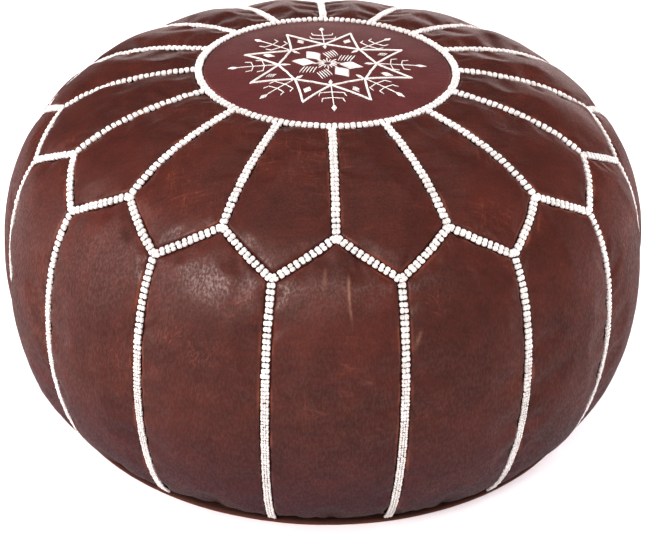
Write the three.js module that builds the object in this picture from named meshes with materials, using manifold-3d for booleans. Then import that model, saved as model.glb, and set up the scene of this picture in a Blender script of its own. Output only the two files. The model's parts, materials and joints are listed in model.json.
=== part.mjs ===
// A round Moroccan leather pouf: an embroidered medallion, sixteen petals and sixteen side panels
// stitched edge to edge over a stuffed liner bag, on a two-piece base that a zip closes.
// Millimetres, +Z up, origin on the floor under the centre. The zip runs along X.
import * as THREE from "three";
import { mergeVertices } from "three/addons/utils/BufferGeometryUtils.js";
import Module from "manifold-3d";

const wasm = await Module();
wasm.setup();

// ---- Driving dimensions ----
const PANEL_COUNT = 16;
const SEAM_RADIUS = 268; // widest point of the seams; the panels bulge past it
const SEAM_RADIUS_HEIGHT = 125;
const CROWN_HEIGHT = 294;
const CROWN_REACH = 0.69; // of SEAM_RADIUS: how far out the crown stays flat
const CROWN_LIFT = 2;
const SHOULDER_REACH = 0.918; // of CROWN_HEIGHT: how high the side stays upright
const SIDE_REACH = 0.65; // of SEAM_RADIUS_HEIGHT: how low the side stays upright
const FOOT_TUCK = 13; // the side has drawn in this far near the floor
const FOOT_REACH = 0.22; // of SEAM_RADIUS_HEIGHT: the height of that place
const FOOT_RADIUS = 233; // where the side panels meet the base
const FOOT_HEIGHT = 7;
const MEDALLION_RADIUS = 106; // seam round the medallion, along the leather
const PETAL_SHOULDER = 225; // crown to a petal's two outer corners, along the leather
const PETAL_TIP = 259; // crown to a petal's point, along the leather

const LEATHER = 2; // panel with its turned edge
const SEAM_GAP = 0.8; // between neighbouring panels
const STITCH_MARGIN = 4.5; // flat border under the stitching
const PETAL_BULGE = 5;
const SIDE_BULGE = 7;
const STITCH_WIDTH = 6.4;
const STITCH_HEIGHT = 2.6;
const STITCH_CLEARANCE = 1;
const RUN_END_SHARE = 0.93; // a run of side stitching stops this far along its outer zigzags
const SIDE_END_TRIM = 1;

const EMBROIDERY_ARROWS = 79; // tips of the eight arrows
const EMBROIDERY_STAR = 70; // tips of the star, between the arrows
const EMBROIDERY_INNER = 42;
const EMBROIDERY_POINTS = 16; // arrows and star tips in turn
const EMBROIDERY_TURN = (3 * Math.PI) / 180; // the star sits slightly off the front seam
const EMBROIDERY_THICK = 0.8;
const MEDALLION_FLAT = 80; // radius of the flat, embroidered middle
const MEDALLION_RISE = 1.5; // flat middle above the crown of the seams

const WELT_INNER = 223.6;
const WELT_OUTER = 232;
const WELT_HEIGHT = 5;
const BASE_RADIUS = 221.8;
const BASE_END_WIDTH = 45; // a base half is cut square here, under the welt
const BASE_COLUMNS = [0, 0.35, 0.65, 0.85, 0.93, 1]; // shares of a half's half length
const BASE_ROWS = [15, 24, 32]; // lines over the side of the trough
const TROUGH_DEPTH = 9; // the base rises this far along the zip
const TROUGH_HALF_WIDTH = 40;
const TROUGH_FULL_LENGTH = 190; // half length at full depth
const TROUGH_END = 214;

const SLOT_HALF = 7; // half the gap between the base halves
const ZIP_HALF_LENGTH = 150;
const TAPE_WIDTH = 12;
const TAPE_THICK = 0.8;
const TAPE_OVERHANG = 12; // tape past each end of the chain
const CHAIN_INNER = 0.85; // the slider's post runs in between
const CHAIN_OUTER = 3.2;
const CHAIN_HEIGHT = 3.6;
const CHAIN_LEVEL = 12.2; // middle of the chain above the floor
const PART_GAP = 0.35;
const STOP_LENGTH = 5;
const TAB_CLEARANCE = 2; // along the slot, to the tape and to the trough's end
const TAB_HOLD = 7; // over each base half

const SLIDER_LENGTH = 13;
const SLIDER_HALF_WIDTH = 6;
const SLIDER_PLATE = 1.5;
const SLIDER_FLANGE = 1;
const POST_LENGTH = 2.4;
const POST_OFFSET = 4; // the post is this far behind the slider's middle
const WELD = 0.2; // overlap of the boxes that make one solid
const BAIL_LENGTH = 10;
const BAIL_DROP = 4;
const BAIL_THICK = 1.6;
const BAIL_WIRE = 1.2;
const PULL_LENGTH = 34;
const PULL_WIDTH = 8.4;
const PULL_THICK = 1.6;
const PULL_ARM = 1.6;
const PULL_EYE = 6.6; // pivot to the solid end of the pull
const PULL_DROP = 0.65; // clearance between the slider and the pull
const PIN_SEGMENTS = 12;
const PULL_SEGMENTS = 10;

const LINER_OFFSET = 6.5; // liner inside the seam surface
const LINER_THICK = 1.5;
const LINER_FLOOR = 3.4;
const LINER_TROUGH_TOP = 17.5;
const LINER_TROUGH_FOOT = 46; // half width at the floor
const LINER_TROUGH_HEAD = 22; // half width at the top
const LINER_MOUTH = [240, 22, 10];
const LINER_CHAMFER = 12;
const LINER_LINES = 10;
const ROUND_SEGMENTS = 32;

// ---- Materials ----
const finish = (color, roughness, metalness = 0) =>
  new THREE.MeshStandardMaterial({ color, roughness, metalness });
const sideLeather = finish(0x5e312a, 0.5);
const petalLeather = finish(0x5a2f2a, 0.5);
const medallionLeather = finish(0x5a3236, 0.55);
const baseLeather = finish(0x6b3a28, 0.65);
const cottonThread = finish(0xf0ede6, 0.85);
const zipTape = finish(0x4a2c22, 0.9);
const brass = finish(0xb08d4a, 0.35, 1);
const linerCotton = finish(0xd8cfbd, 0.95);
const cottonFill = finish(0xeeeae0, 1);

// ---- Seam surface ----
// The profile runs from the crown to the foot; its two curves meet upright at the widest point.
const profile = new THREE.CurvePath();
profile.add(
  new THREE.CubicBezierCurve(
    new THREE.Vector2(0, CROWN_HEIGHT),
    new THREE.Vector2(CROWN_REACH * SEAM_RADIUS, CROWN_HEIGHT + CROWN_LIFT),
    new THREE.Vector2(SEAM_RADIUS, SHOULDER_REACH * CROWN_HEIGHT),
    new THREE.Vector2(SEAM_RADIUS, SEAM_RADIUS_HEIGHT),
  ),
);
profile.add(
  new THREE.CubicBezierCurve(
    new THREE.Vector2(SEAM_RADIUS, SEAM_RADIUS_HEIGHT),
    new THREE.Vector2(SEAM_RADIUS, SIDE_REACH * SEAM_RADIUS_HEIGHT),
    new THREE.Vector2(SEAM_RADIUS - FOOT_TUCK, FOOT_REACH * SEAM_RADIUS_HEIGHT),
    new THREE.Vector2(FOOT_RADIUS, FOOT_HEIGHT),
  ),
);
const PROFILE_LENGTH = profile.getLength();
const SECTOR = (2 * Math.PI) / PANEL_COUNT;

// Radius and height at a distance along the leather from the crown, moved out by lift.
function profilePoint(along, lift = 0) {
  const t = THREE.MathUtils.clamp(along / PROFILE_LENGTH, 0, 1);
  const p = profile.getPointAt(t);
  const tangent = profile.getTangentAt(t);
  return new THREE.Vector2(p.x - tangent.y * lift, p.y + tangent.x * lift);
}

// A point of the seam surface. Azimuth 0 is the front, -Y, and it grows towards +X.
function surfacePoint(azimuth, along, lift = 0) {
  const p = profilePoint(along, lift);
  return new THREE.Vector3(p.x * Math.sin(azimuth), -p.x * Math.cos(azimuth), p.y);
}

// ---- Solids ----
function closedGeometry(points, faces) {
  const geometry = new THREE.BufferGeometry().setFromPoints(points);
  geometry.setIndex(faces.flat());
  return geometry;
}

// A sheet between two grids of points that share one layout, closed round its edge.
function sheetSolid(outer, inner) {
  const rows = outer.length;
  const columns = outer[0].length;
  const points = [...outer.flat(), ...inner.flat()];
  const at = (i, j) => i * columns + j;
  const under = (i, j) => rows * columns + at(i, j);
  const faces = [];
  const quad = (a, b, c, d) => faces.push([a, b, c], [a, c, d]);
  for (let i = 0; i + 1 < rows; i++) {
    for (let j = 0; j + 1 < columns; j++) {
      quad(at(i, j), at(i + 1, j), at(i + 1, j + 1), at(i, j + 1));
      quad(under(i, j), under(i, j + 1), under(i + 1, j + 1), under(i + 1, j));
    }
    quad(at(i, 0), under(i, 0), under(i + 1, 0), at(i + 1, 0));
    quad(at(i + 1, columns - 1), under(i + 1, columns - 1), under(i, columns - 1), at(i, columns - 1));
  }
  for (let j = 0; j + 1 < columns; j++) {
    quad(at(0, j + 1), under(0, j + 1), under(0, j), at(0, j));
    quad(at(rows - 1, j), under(rows - 1, j), under(rows - 1, j + 1), at(rows - 1, j + 1));
  }
  return closedGeometry(points, faces);
}

// A closed geometry as a manifold-3d solid, and back.
function toSolid(geometry) {
  const bare = geometry.index ? geometry.toNonIndexed() : geometry.clone();
  bare.deleteAttribute("normal");
  bare.deleteAttribute("uv");
  const merged = mergeVertices(bare, 1e-3);
  return new wasm.Manifold(
    new wasm.Mesh({
      numProp: 3,
      vertProperties: merged.attributes.position.array,
      triVerts: new Uint32Array(merged.index.array),
    }),
  );
}

function toGeometry(solid) {
  const mesh = solid.getMesh();
  return new THREE.BufferGeometry()
    .setAttribute("position", new THREE.BufferAttribute(mesh.vertProperties, 3))
    .setIndex(new THREE.BufferAttribute(mesh.triVerts, 1));
}

const join = (geometries) => toGeometry(geometries.map(toSolid).reduce((all, one) => all.add(one)));

function box(size, centre) {
  return new THREE.BoxGeometry(...size).translate(...centre);
}

// Turns a profile of [radius, height] pairs about Z.
function turned(pairs, segments = ROUND_SEGMENTS) {
  const points = pairs.map(([r, z]) => new THREE.Vector2(r, z));
  return new THREE.LatheGeometry(points, segments).rotateX(Math.PI / 2);
}

// Extrudes an outline drawn in (y, z) along X, centred on x = 0.
function alongX(outline, length) {
  const shape = new THREE.Shape(outline.map(([y, z]) => new THREE.Vector2(y, z)));
  return new THREE.ExtrudeGeometry(shape, { depth: length, bevelEnabled: false })
    .translate(0, 0, -length / 2)
    .applyMatrix4(
      new THREE.Matrix4().makeBasis(
        new THREE.Vector3(0, 1, 0),
        new THREE.Vector3(0, 0, 1),
        new THREE.Vector3(1, 0, 0),
      ),
    );
}

// ---- Leather panels ----
// Lines across a panel, as shares of its half width, and down it, as shares of its length. The
// second line from each edge bounds the flat border that carries the stitching.
const ACROSS = [-0.45, 0, 0.45];
const PETAL_DOWN = [0.3, 0.65];
const SIDE_DOWN = [0.2, 0.42, 0.62, 0.82];
const BORDER_LINES = 2;
const full = (share) => 1 - share * share;

// One panel between azimuth -SECTOR/2 and SECTOR/2 of its centre, from top(u) down to bottom(u).
function panelGeometry(centre, top, bottom, downShares, bulge) {
  const gap = SEAM_GAP / 2;
  const lines = ["left", "leftMargin", ...ACROSS, "rightMargin", "right"];
  const inset = { left: gap, leftMargin: STITCH_MARGIN, rightMargin: STITCH_MARGIN, right: gap };
  const column = (line, lift) => {
    const edge = typeof line === "string";
    const side = edge && line.startsWith("left") ? -1 : 1;
    const u = edge ? side : line;
    const start = top(Math.abs(u)) + gap;
    const end = bottom(Math.abs(u)) - gap;
    const margin = STITCH_MARGIN / (end - start);
    const stations = [0, margin, ...downShares, 1 - margin, 1];
    return stations.map((v, row) => {
      const along = start + v * (end - start);
      const radius = profilePoint(along).x;
      const half = SECTOR / 2 - (edge ? inset[line] / radius : 0);
      const border = edge || Math.min(row, stations.length - 1 - row) < BORDER_LINES;
      const rise = border ? 0 : bulge * full(u) * full(2 * v - 1);
      const reach = edge ? side * half : u * half;
      return surfacePoint(centre + reach, along, rise + lift);
    });
  };
  return sheetSolid(
    lines.map((line) => column(line, -LEATHER)),
    lines.map((line) => column(line, 0)),
  );
}

const zigzag = (share) => THREE.MathUtils.lerp(PETAL_TIP, PETAL_SHOULDER, share);
const petalGeometry = (index) =>
  panelGeometry((index + 0.5) * SECTOR, () => MEDALLION_RADIUS, zigzag, PETAL_DOWN, PETAL_BULGE);
const sideGeometry = (index) =>
  panelGeometry(
    index * SECTOR,
    (share) => zigzag(1 - share),
    () => PROFILE_LENGTH,
    SIDE_DOWN,
    SIDE_BULGE,
  );

function medallionGeometry() {
  const rim = MEDALLION_RADIUS - SEAM_GAP / 2;
  const edge = profilePoint(rim);
  const border = profilePoint(MEDALLION_RADIUS - STITCH_MARGIN);
  const top = CROWN_HEIGHT + MEDALLION_RISE;
  return turned([
    [0, top - LEATHER],
    [MEDALLION_FLAT, top - LEATHER],
    [border.x, border.y - LEATHER],
    [edge.x, edge.y - LEATHER],
    [edge.x, edge.y],
    [border.x, border.y],
    [MEDALLION_FLAT, top],
    [0, top],
  ]);
}

function embroideryGeometry() {
  const corner = (k) => {
    const tip = k % 4 ? EMBROIDERY_STAR : EMBROIDERY_ARROWS;
    const radius = k % 2 ? EMBROIDERY_INNER : tip;
    const angle = (k * Math.PI) / EMBROIDERY_POINTS + EMBROIDERY_TURN;
    return new THREE.Vector2(radius * Math.cos(angle), radius * Math.sin(angle));
  };
  const star = new THREE.Shape(Array.from({ length: 2 * EMBROIDERY_POINTS }, (_, k) => corner(k)));
  const level = CROWN_HEIGHT + MEDALLION_RISE + PART_GAP;
  return new THREE.ExtrudeGeometry(star, { depth: EMBROIDERY_THICK, bevelEnabled: false }).translate(
    0,
    0,
    level,
  );
}

// ---- Stitching ----
// A flat-bottomed ridge along a route of [azimuth, distance from the crown] pairs.
function ridge(route, closed = false) {
  const bottom = STITCH_CLEARANCE;
  const section = [
    [-STITCH_WIDTH / 2, bottom],
    [STITCH_WIDTH / 2, bottom],
    [STITCH_WIDTH / 2, bottom + STITCH_HEIGHT / 2],
    [0, bottom + STITCH_HEIGHT],
    [-STITCH_WIDTH / 2, bottom + STITCH_HEIGHT / 2],
  ];
  const count = route.length;
  const within = (k) => (closed ? (k + count) % count : THREE.MathUtils.clamp(k, 0, count - 1));
  const place = (k) => surfacePoint(...route[within(k)]);
  const rings = route.map(([azimuth, along], k) => {
    const here = place(k);
    const up = surfacePoint(azimuth, along, 1).sub(here);
    const forward = place(k + 1).sub(place(k - 1)).normalize();
    const across = new THREE.Vector3().crossVectors(forward, up).normalize();
    return section.map(([w, h]) => here.clone().addScaledVector(across, w).addScaledVector(up, h));
  });
  const points = rings.flat();
  const n = section.length;
  const faces = [];
  for (let k = 0; k + 1 < count + (closed ? 1 : 0); k++) {
    for (let i = 0; i < n; i++) {
      const [a, b] = [k * n + i, k * n + ((i + 1) % n)];
      const [c, d] = [((k + 1) % count) * n + ((i + 1) % n), ((k + 1) % count) * n + i];
      faces.push([a, c, b], [a, d, c]);
    }
  }
  if (!closed) {
    for (let i = 1; i + 1 < n; i++) {
      faces.push([0, i, i + 1]);
      faces.push([(count - 1) * n, (count - 1) * n + i + 1, (count - 1) * n + i]);
    }
  }
  return closedGeometry(points, faces);
}

const steps = (from, to, count) =>
  Array.from({ length: count + 1 }, (_, k) => THREE.MathUtils.lerp(from, to, k / count));
const spokeAzimuth = (index) => index * SECTOR;

// The ring round the medallion with the sixteen seams between the petals.
function ringStitchingGeometry() {
  const around = steps(0, 2 * Math.PI, 3 * PANEL_COUNT).slice(0, -1);
  const ring = ridge(around.map((azimuth) => [azimuth, MEDALLION_RADIUS]), true);
  const end = PETAL_SHOULDER - STITCH_WIDTH;
  const spokes = Array.from({ length: PANEL_COUNT }, (_, k) =>
    ridge(steps(MEDALLION_RADIUS, end, 4).map((along) => [spokeAzimuth(k), along])),
  );
  return join([ring, ...spokes]);
}

// Two zigzags with the two side seams that run down from their points, in one sewn run.
const RUN_PANELS = 2;
function sideStitchingGeometry(run) {
  const pieces = [];
  for (let k = run * RUN_PANELS; k < (run + 1) * RUN_PANELS; k++) {
    const tip = (k + 0.5) * SECTOR;
    const last = k + 1 === (run + 1) * RUN_PANELS;
    const shoulder = (side, share) => [tip + (side * share * SECTOR) / 2, zigzag(share)];
    const leftEnd = k === run * RUN_PANELS ? RUN_END_SHARE : 1;
    const rightEnd = last ? RUN_END_SHARE : 1;
    pieces.push(ridge([shoulder(-1, leftEnd), shoulder(-1, 0.5), shoulder(-1, 0)]));
    pieces.push(ridge([shoulder(1, 0), shoulder(1, 0.5), shoulder(1, rightEnd)]));
    const down = steps(PETAL_TIP, PROFILE_LENGTH - SIDE_END_TRIM, 7);
    pieces.push(ridge(down.map((along) => [tip, along])));
  }
  return join(pieces);
}

// ---- Base ----
const smooth = (x) => THREE.MathUtils.smoothstep(x, 0, 1);

// Height of the base's underside: a trough along the zip, flat on the floor elsewhere.
function baseLift(x, y) {
  const across = smooth((TROUGH_HALF_WIDTH - Math.abs(y)) / (TROUGH_HALF_WIDTH - SLOT_HALF));
  const along = smooth((TROUGH_END - Math.abs(x)) / (TROUGH_END - TROUGH_FULL_LENGTH));
  return TROUGH_DEPTH * across * along;
}

function baseHalfGeometry(side) {
  const endX = Math.sqrt(BASE_RADIUS ** 2 - BASE_END_WIDTH ** 2);
  const mirrored = BASE_COLUMNS.slice(1).reverse().map((share) => -share);
  const columns = [...mirrored, ...BASE_COLUMNS].map((share) => share * endX);
  const grid = (rise) =>
    columns.map((x) => {
      const rim = Math.sqrt(BASE_RADIUS ** 2 - x * x);
      const between = (TROUGH_HALF_WIDTH + rim) / 2;
      const rows = [SLOT_HALF, ...BASE_ROWS, TROUGH_HALF_WIDTH, between, rim];
      return rows.map((y) => new THREE.Vector3(x, side * y, baseLift(x, y) + rise));
    });
  return side > 0 ? sheetSolid(grid(LEATHER), grid(0)) : sheetSolid(grid(0), grid(LEATHER));
}

function weltGeometry() {
  const middle = (WELT_INNER + WELT_OUTER) / 2;
  return turned([
    [WELT_INNER, 0],
    [middle, 0],
    [WELT_OUTER, WELT_HEIGHT * 0.4],
    [WELT_OUTER - 1, WELT_HEIGHT * 0.8],
    [middle, WELT_HEIGHT],
    [WELT_INNER, WELT_HEIGHT],
    [WELT_INNER, 0],
  ]);
}

// ---- Zip ----
function tapeGeometry(side) {
  const middle = side * (CHAIN_OUTER + PART_GAP + TAPE_WIDTH / 2);
  const length = 2 * (ZIP_HALF_LENGTH + TAPE_OVERHANG);
  return box([length, TAPE_WIDTH, TAPE_THICK], [0, middle, CHAIN_LEVEL]);
}

function chainGeometry(side) {
  const middle = (side * (CHAIN_INNER + CHAIN_OUTER)) / 2;
  return box([2 * ZIP_HALF_LENGTH, CHAIN_OUTER - CHAIN_INNER, CHAIN_HEIGHT], [0, middle, CHAIN_LEVEL]);
}

// A crimped stop past the end of both chains.
function stopGeometry(end) {
  const middle = end * (ZIP_HALF_LENGTH + PART_GAP + STOP_LENGTH / 2);
  return box([STOP_LENGTH, 2 * CHAIN_OUTER, CHAIN_HEIGHT], [middle, 0, CHAIN_LEVEL]);
}

// A leather tab sewn across the slot past each end of the zip.
function endTabGeometry(end) {
  const inner = ZIP_HALF_LENGTH + TAPE_OVERHANG + TAB_CLEARANCE;
  const outer = TROUGH_FULL_LENGTH - TAB_CLEARANCE;
  const middle = (end * (inner + outer)) / 2;
  const level = TROUGH_DEPTH + LEATHER + PART_GAP + LEATHER / 2;
  return box([outer - inner, 2 * (SLOT_HALF + TAB_HOLD), LEATHER], [middle, 0, level]);
}

const SLIDER_INSIDE = CHAIN_HEIGHT / 2 + PART_GAP;
const SLIDER_BOTTOM = CHAIN_LEVEL - SLIDER_INSIDE - SLIDER_PLATE;
const SLIDER_X = ZIP_HALF_LENGTH - SLIDER_LENGTH / 2;
const PULL_PIVOT = SLIDER_BOTTOM - PULL_THICK / 2 - PULL_DROP;

// Two plates joined by a thin post, with flanges over the tape and a bail below for the pull.
function sliderGeometry() {
  const plate = (level) =>
    box([SLIDER_LENGTH, 2 * SLIDER_HALF_WIDTH, SLIDER_PLATE], [SLIDER_X, 0, level]);
  const offset = SLIDER_INSIDE + SLIDER_PLATE / 2;
  const post = box(
    [POST_LENGTH, 2 * (CHAIN_INNER - PART_GAP), 2 * offset],
    [SLIDER_X - POST_OFFSET, 0, CHAIN_LEVEL],
  );
  const flangeHeight = SLIDER_INSIDE - TAPE_THICK / 2 - 2 * PART_GAP;
  const flanges = [-1, 1].flatMap((side) =>
    [-1, 1].map((level) =>
      box(
        [SLIDER_LENGTH, SLIDER_FLANGE, flangeHeight + WELD],
        [
          SLIDER_X,
          side * (SLIDER_HALF_WIDTH - SLIDER_FLANGE / 2),
          CHAIN_LEVEL + level * (SLIDER_INSIDE - flangeHeight / 2 + WELD / 2),
        ],
      ),
    ),
  );
  const bailLevel = SLIDER_BOTTOM - BAIL_DROP;
  const bar = box([BAIL_LENGTH, BAIL_THICK, BAIL_WIRE], [SLIDER_X, 0, bailLevel + BAIL_WIRE / 2]);
  const legs = [-1, 1].map((end) =>
    box(
      [BAIL_WIRE, BAIL_THICK, BAIL_DROP + WELD],
      [SLIDER_X + (end * (BAIL_LENGTH - BAIL_WIRE)) / 2, 0, bailLevel + (BAIL_DROP + WELD) / 2],
    ),
  );
  return join([plate(CHAIN_LEVEL - offset), plate(CHAIN_LEVEL + offset), post, ...flanges, bar, ...legs]);
}

// Lies flat under the slider, pointing back along the closed chain.
function pullGeometry() {
  const radius = PULL_THICK / 2;
  const pin = new THREE.CylinderGeometry(radius, radius, PULL_WIDTH, PIN_SEGMENTS);
  const armLength = PULL_EYE + 1;
  const arms = [-1, 1].map((side) =>
    box([armLength, PULL_ARM, PULL_THICK], [-armLength / 2, (side * (PULL_WIDTH - PULL_ARM)) / 2, 0]),
  );
  const outline = new THREE.Shape();
  const tail = PULL_LENGTH - PULL_WIDTH / 2;
  outline.moveTo(-PULL_EYE, -PULL_WIDTH / 2);
  outline.lineTo(-PULL_EYE, PULL_WIDTH / 2);
  outline.lineTo(-tail, PULL_WIDTH / 2);
  outline.absarc(-tail, 0, PULL_WIDTH / 2, Math.PI / 2, (3 * Math.PI) / 2, false);
  outline.closePath();
  const flat = { depth: PULL_THICK, bevelEnabled: false, curveSegments: PULL_SEGMENTS };
  const tab = new THREE.ExtrudeGeometry(outline, flat).translate(0, 0, -radius);
  return join([pin, ...arms, tab]).translate(SLIDER_X, 0, PULL_PIVOT);
}

// ---- Liner and stuffing ----
// The inside of the cover, grown inwards by inset, with the trough over the zip taken out.
function fillSolid(inset) {
  const wall = steps(PROFILE_LENGTH, 0, LINER_LINES).map((along) =>
    profilePoint(along, -LINER_OFFSET - inset).toArray(),
  );
  const foot = LINER_FLOOR + inset;
  const outline = [[0, foot], [wall[0][0] - LINER_CHAMFER, foot], ...wall.slice(1)];
  outline[outline.length - 1][0] = 0;
  const top = LINER_TROUGH_TOP + inset;
  const trough = alongX(
    [
      [-LINER_TROUGH_FOOT - inset, 0],
      [LINER_TROUGH_FOOT + inset, 0],
      [LINER_TROUGH_HEAD + inset, top],
      [-LINER_TROUGH_HEAD - inset, top],
    ],
    2 * TROUGH_END + 2 * inset,
  );
  return toSolid(turned(outline)).subtract(toSolid(trough));
}

function linerGeometry() {
  const mouth = box(LINER_MOUTH, [0, 0, LINER_TROUGH_TOP + LINER_THICK / 2]);
  return toGeometry(fillSolid(0).subtract(fillSolid(LINER_THICK)).subtract(toSolid(mouth)));
}

const stuffingGeometry = () => toGeometry(fillSolid(LINER_THICK + PART_GAP));

// ---- Assembly ----
const pouf = new THREE.Group();
function add(name, geometry, material) {
  const mesh = new THREE.Mesh(geometry, material);
  mesh.name = name;
  pouf.add(mesh);
}

const two = (number) => String(number).padStart(2, "0");
add("medallion", medallionGeometry(), medallionLeather);
add("medallion_embroidery", embroideryGeometry(), cottonThread);
for (let k = 0; k < PANEL_COUNT; k++) {
  add(`petal_panel_${two(k + 1)}`, petalGeometry(k), petalLeather);
  add(`side_panel_${two(k + 1)}`, sideGeometry(k), sideLeather);
}
add("ring_stitching", ringStitchingGeometry(), cottonThread);
for (let run = 0; run < PANEL_COUNT / RUN_PANELS; run++) {
  add(`side_stitching_${run + 1}`, sideStitchingGeometry(run), cottonThread);
}
add("base_half_front", baseHalfGeometry(-1), baseLeather);
add("base_half_back", baseHalfGeometry(1), baseLeather);
add("base_welt", weltGeometry(), baseLeather);
add("zip_tape_front", tapeGeometry(-1), zipTape);
add("zip_tape_back", tapeGeometry(1), zipTape);
add("zip_chain_front", chainGeometry(-1), brass);
add("zip_chain_back", chainGeometry(1), brass);
add("zip_stop_open_end", stopGeometry(-1), brass);
add("zip_stop_closed_end", stopGeometry(1), brass);
add("zip_end_tab_left", endTabGeometry(-1), baseLeather);
add("zip_end_tab_right", endTabGeometry(1), baseLeather);
add("zip_slider", sliderGeometry(), brass);
add("zip_pull", pullGeometry(), brass);
add("liner_bag", linerGeometry(), linerCotton);
add("stuffing", stuffingGeometry(), cottonFill);

export default pouf;
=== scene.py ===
"""Looks of a round Moroccan leather pouf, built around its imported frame.

Lengths are metres, +Z is up and the origin is on the floor under the pouf's centre. Azimuth 0 is the
front, -Y, and it grows towards +X. Distances "along" are measured down the leather from the crown.
"""

from __future__ import annotations

import json
import logging
import math
from dataclasses import dataclass, field
from enum import Enum

import bpy
import numpy as np
from mathutils import Matrix, Vector

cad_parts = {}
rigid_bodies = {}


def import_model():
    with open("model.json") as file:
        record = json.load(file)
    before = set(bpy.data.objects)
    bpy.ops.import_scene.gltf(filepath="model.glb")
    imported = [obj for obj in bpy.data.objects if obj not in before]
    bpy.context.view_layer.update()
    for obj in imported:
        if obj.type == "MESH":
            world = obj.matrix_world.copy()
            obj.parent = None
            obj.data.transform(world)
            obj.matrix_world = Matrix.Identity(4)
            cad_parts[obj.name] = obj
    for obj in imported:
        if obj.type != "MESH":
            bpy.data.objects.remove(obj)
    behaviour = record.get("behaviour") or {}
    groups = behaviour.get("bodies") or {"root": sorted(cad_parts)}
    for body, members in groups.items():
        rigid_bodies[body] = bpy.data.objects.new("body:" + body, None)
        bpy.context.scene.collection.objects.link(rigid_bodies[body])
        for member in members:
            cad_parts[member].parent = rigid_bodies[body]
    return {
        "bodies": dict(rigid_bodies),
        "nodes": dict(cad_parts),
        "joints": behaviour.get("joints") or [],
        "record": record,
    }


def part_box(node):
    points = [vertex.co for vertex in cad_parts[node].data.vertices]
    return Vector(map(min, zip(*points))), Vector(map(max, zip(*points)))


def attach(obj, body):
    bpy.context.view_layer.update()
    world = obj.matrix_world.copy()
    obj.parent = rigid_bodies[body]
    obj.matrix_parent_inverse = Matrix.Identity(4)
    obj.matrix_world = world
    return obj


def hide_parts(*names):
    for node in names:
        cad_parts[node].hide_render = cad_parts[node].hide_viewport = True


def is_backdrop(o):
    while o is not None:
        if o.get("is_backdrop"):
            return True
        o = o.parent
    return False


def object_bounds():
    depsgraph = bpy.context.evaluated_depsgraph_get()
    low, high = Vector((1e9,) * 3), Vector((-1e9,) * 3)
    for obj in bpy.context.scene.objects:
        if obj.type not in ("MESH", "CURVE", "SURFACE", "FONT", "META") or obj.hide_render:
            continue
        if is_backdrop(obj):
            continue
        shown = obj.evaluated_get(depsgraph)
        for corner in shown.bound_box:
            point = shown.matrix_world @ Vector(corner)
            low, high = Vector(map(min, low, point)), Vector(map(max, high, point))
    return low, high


LOG = logging.getLogger("pouf")
MM = 0.001
PANELS = 16
SECTOR = 2 * math.pi / PANELS
RUNS = 8  # lengths of side stitching, two panels each


# ---------------------------------------------------------------- numbers over the surface


AXIS_PRIMES = (73856093, 19349663, 83492791)
SEED_PRIME = 2654435761
MIX_PRIME = 1274126177
WORD = 0xFFFFFFFF


def lattice_noise(points: np.ndarray, size: float, seed: int = 0) -> np.ndarray:
    """Smooth repeatable noise.

    Args:
        points: Array of shape (..., 3).
        size: Width of one bump, in the unit of points.
        seed: Picks another pattern.

    Returns:
        Values from -1 to 1, shape (...).
    """
    scaled = np.asarray(points, float) / size
    cell = np.floor(scaled).astype(np.int64)
    share = scaled - cell
    share = share * share * (3 - 2 * share)
    total = np.zeros(scaled.shape[:-1])
    for corner in np.ndindex(2, 2, 2):
        step = np.array(corner)
        at = cell + step
        x, y, z = (at[..., axis] * prime for axis, prime in enumerate(AXIS_PRIMES))
        mixed = (x ^ y ^ z ^ (seed * SEED_PRIME)) & WORD
        mixed = ((mixed ^ (mixed >> 13)) * MIX_PRIME) & WORD
        value = (mixed ^ (mixed >> 16)) / 2**31 - 1
        total += value * np.prod(np.where(step, share, 1 - share), axis=-1)
    return total


def smoothstep(low: float, high: float, value: np.ndarray) -> np.ndarray:
    """Rises smoothly from 0 at low to 1 at high."""
    t = np.clip((np.asarray(value, float) - low) / (high - low), 0, 1)
    return t * t * (3 - 2 * t)


def unit(vectors: np.ndarray) -> np.ndarray:
    """Vectors scaled to length one along their last axis."""
    return vectors / np.maximum(np.linalg.norm(vectors, axis=-1, keepdims=True), 1e-12)


def cubic_weights(t: np.ndarray) -> list[np.ndarray]:
    """Catmull-Rom weights of the four samples round a point t between the middle two."""
    return [
        0.5 * (-t + 2 * t**2 - t**3),
        0.5 * (2 - 5 * t**2 + 3 * t**3),
        0.5 * (t + 4 * t**2 - 3 * t**3),
        0.5 * (-(t**2) + t**3),
    ]


def resample(grid: np.ndarray, rows: np.ndarray, columns: np.ndarray) -> np.ndarray:
    """Smooth lookup in a grid of points.

    Args:
        grid: Points, shape (n, m, 3).
        rows: Fractional first index of each wanted point.
        columns: Fractional second index, same shape.

    Returns:
        Points with the shape of rows plus (3,).
    """
    padded = np.concatenate([2 * grid[:1] - grid[1:2], grid, 2 * grid[-1:] - grid[-2:-1]])
    padded = np.concatenate(
        [2 * padded[:, :1] - padded[:, 1:2], padded, 2 * padded[:, -1:] - padded[:, -2:-1]], axis=1
    )
    i = np.clip(np.floor(rows).astype(int), 0, grid.shape[0] - 2)
    j = np.clip(np.floor(columns).astype(int), 0, grid.shape[1] - 2)
    total = np.zeros(rows.shape + (3,))
    for a, wa in enumerate(cubic_weights(rows - i)):
        for b, wb in enumerate(cubic_weights(columns - j)):
            total += (wa * wb)[..., None] * padded[i + a, j + b]
    return total


# ---------------------------------------------------------------- meshes


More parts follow.
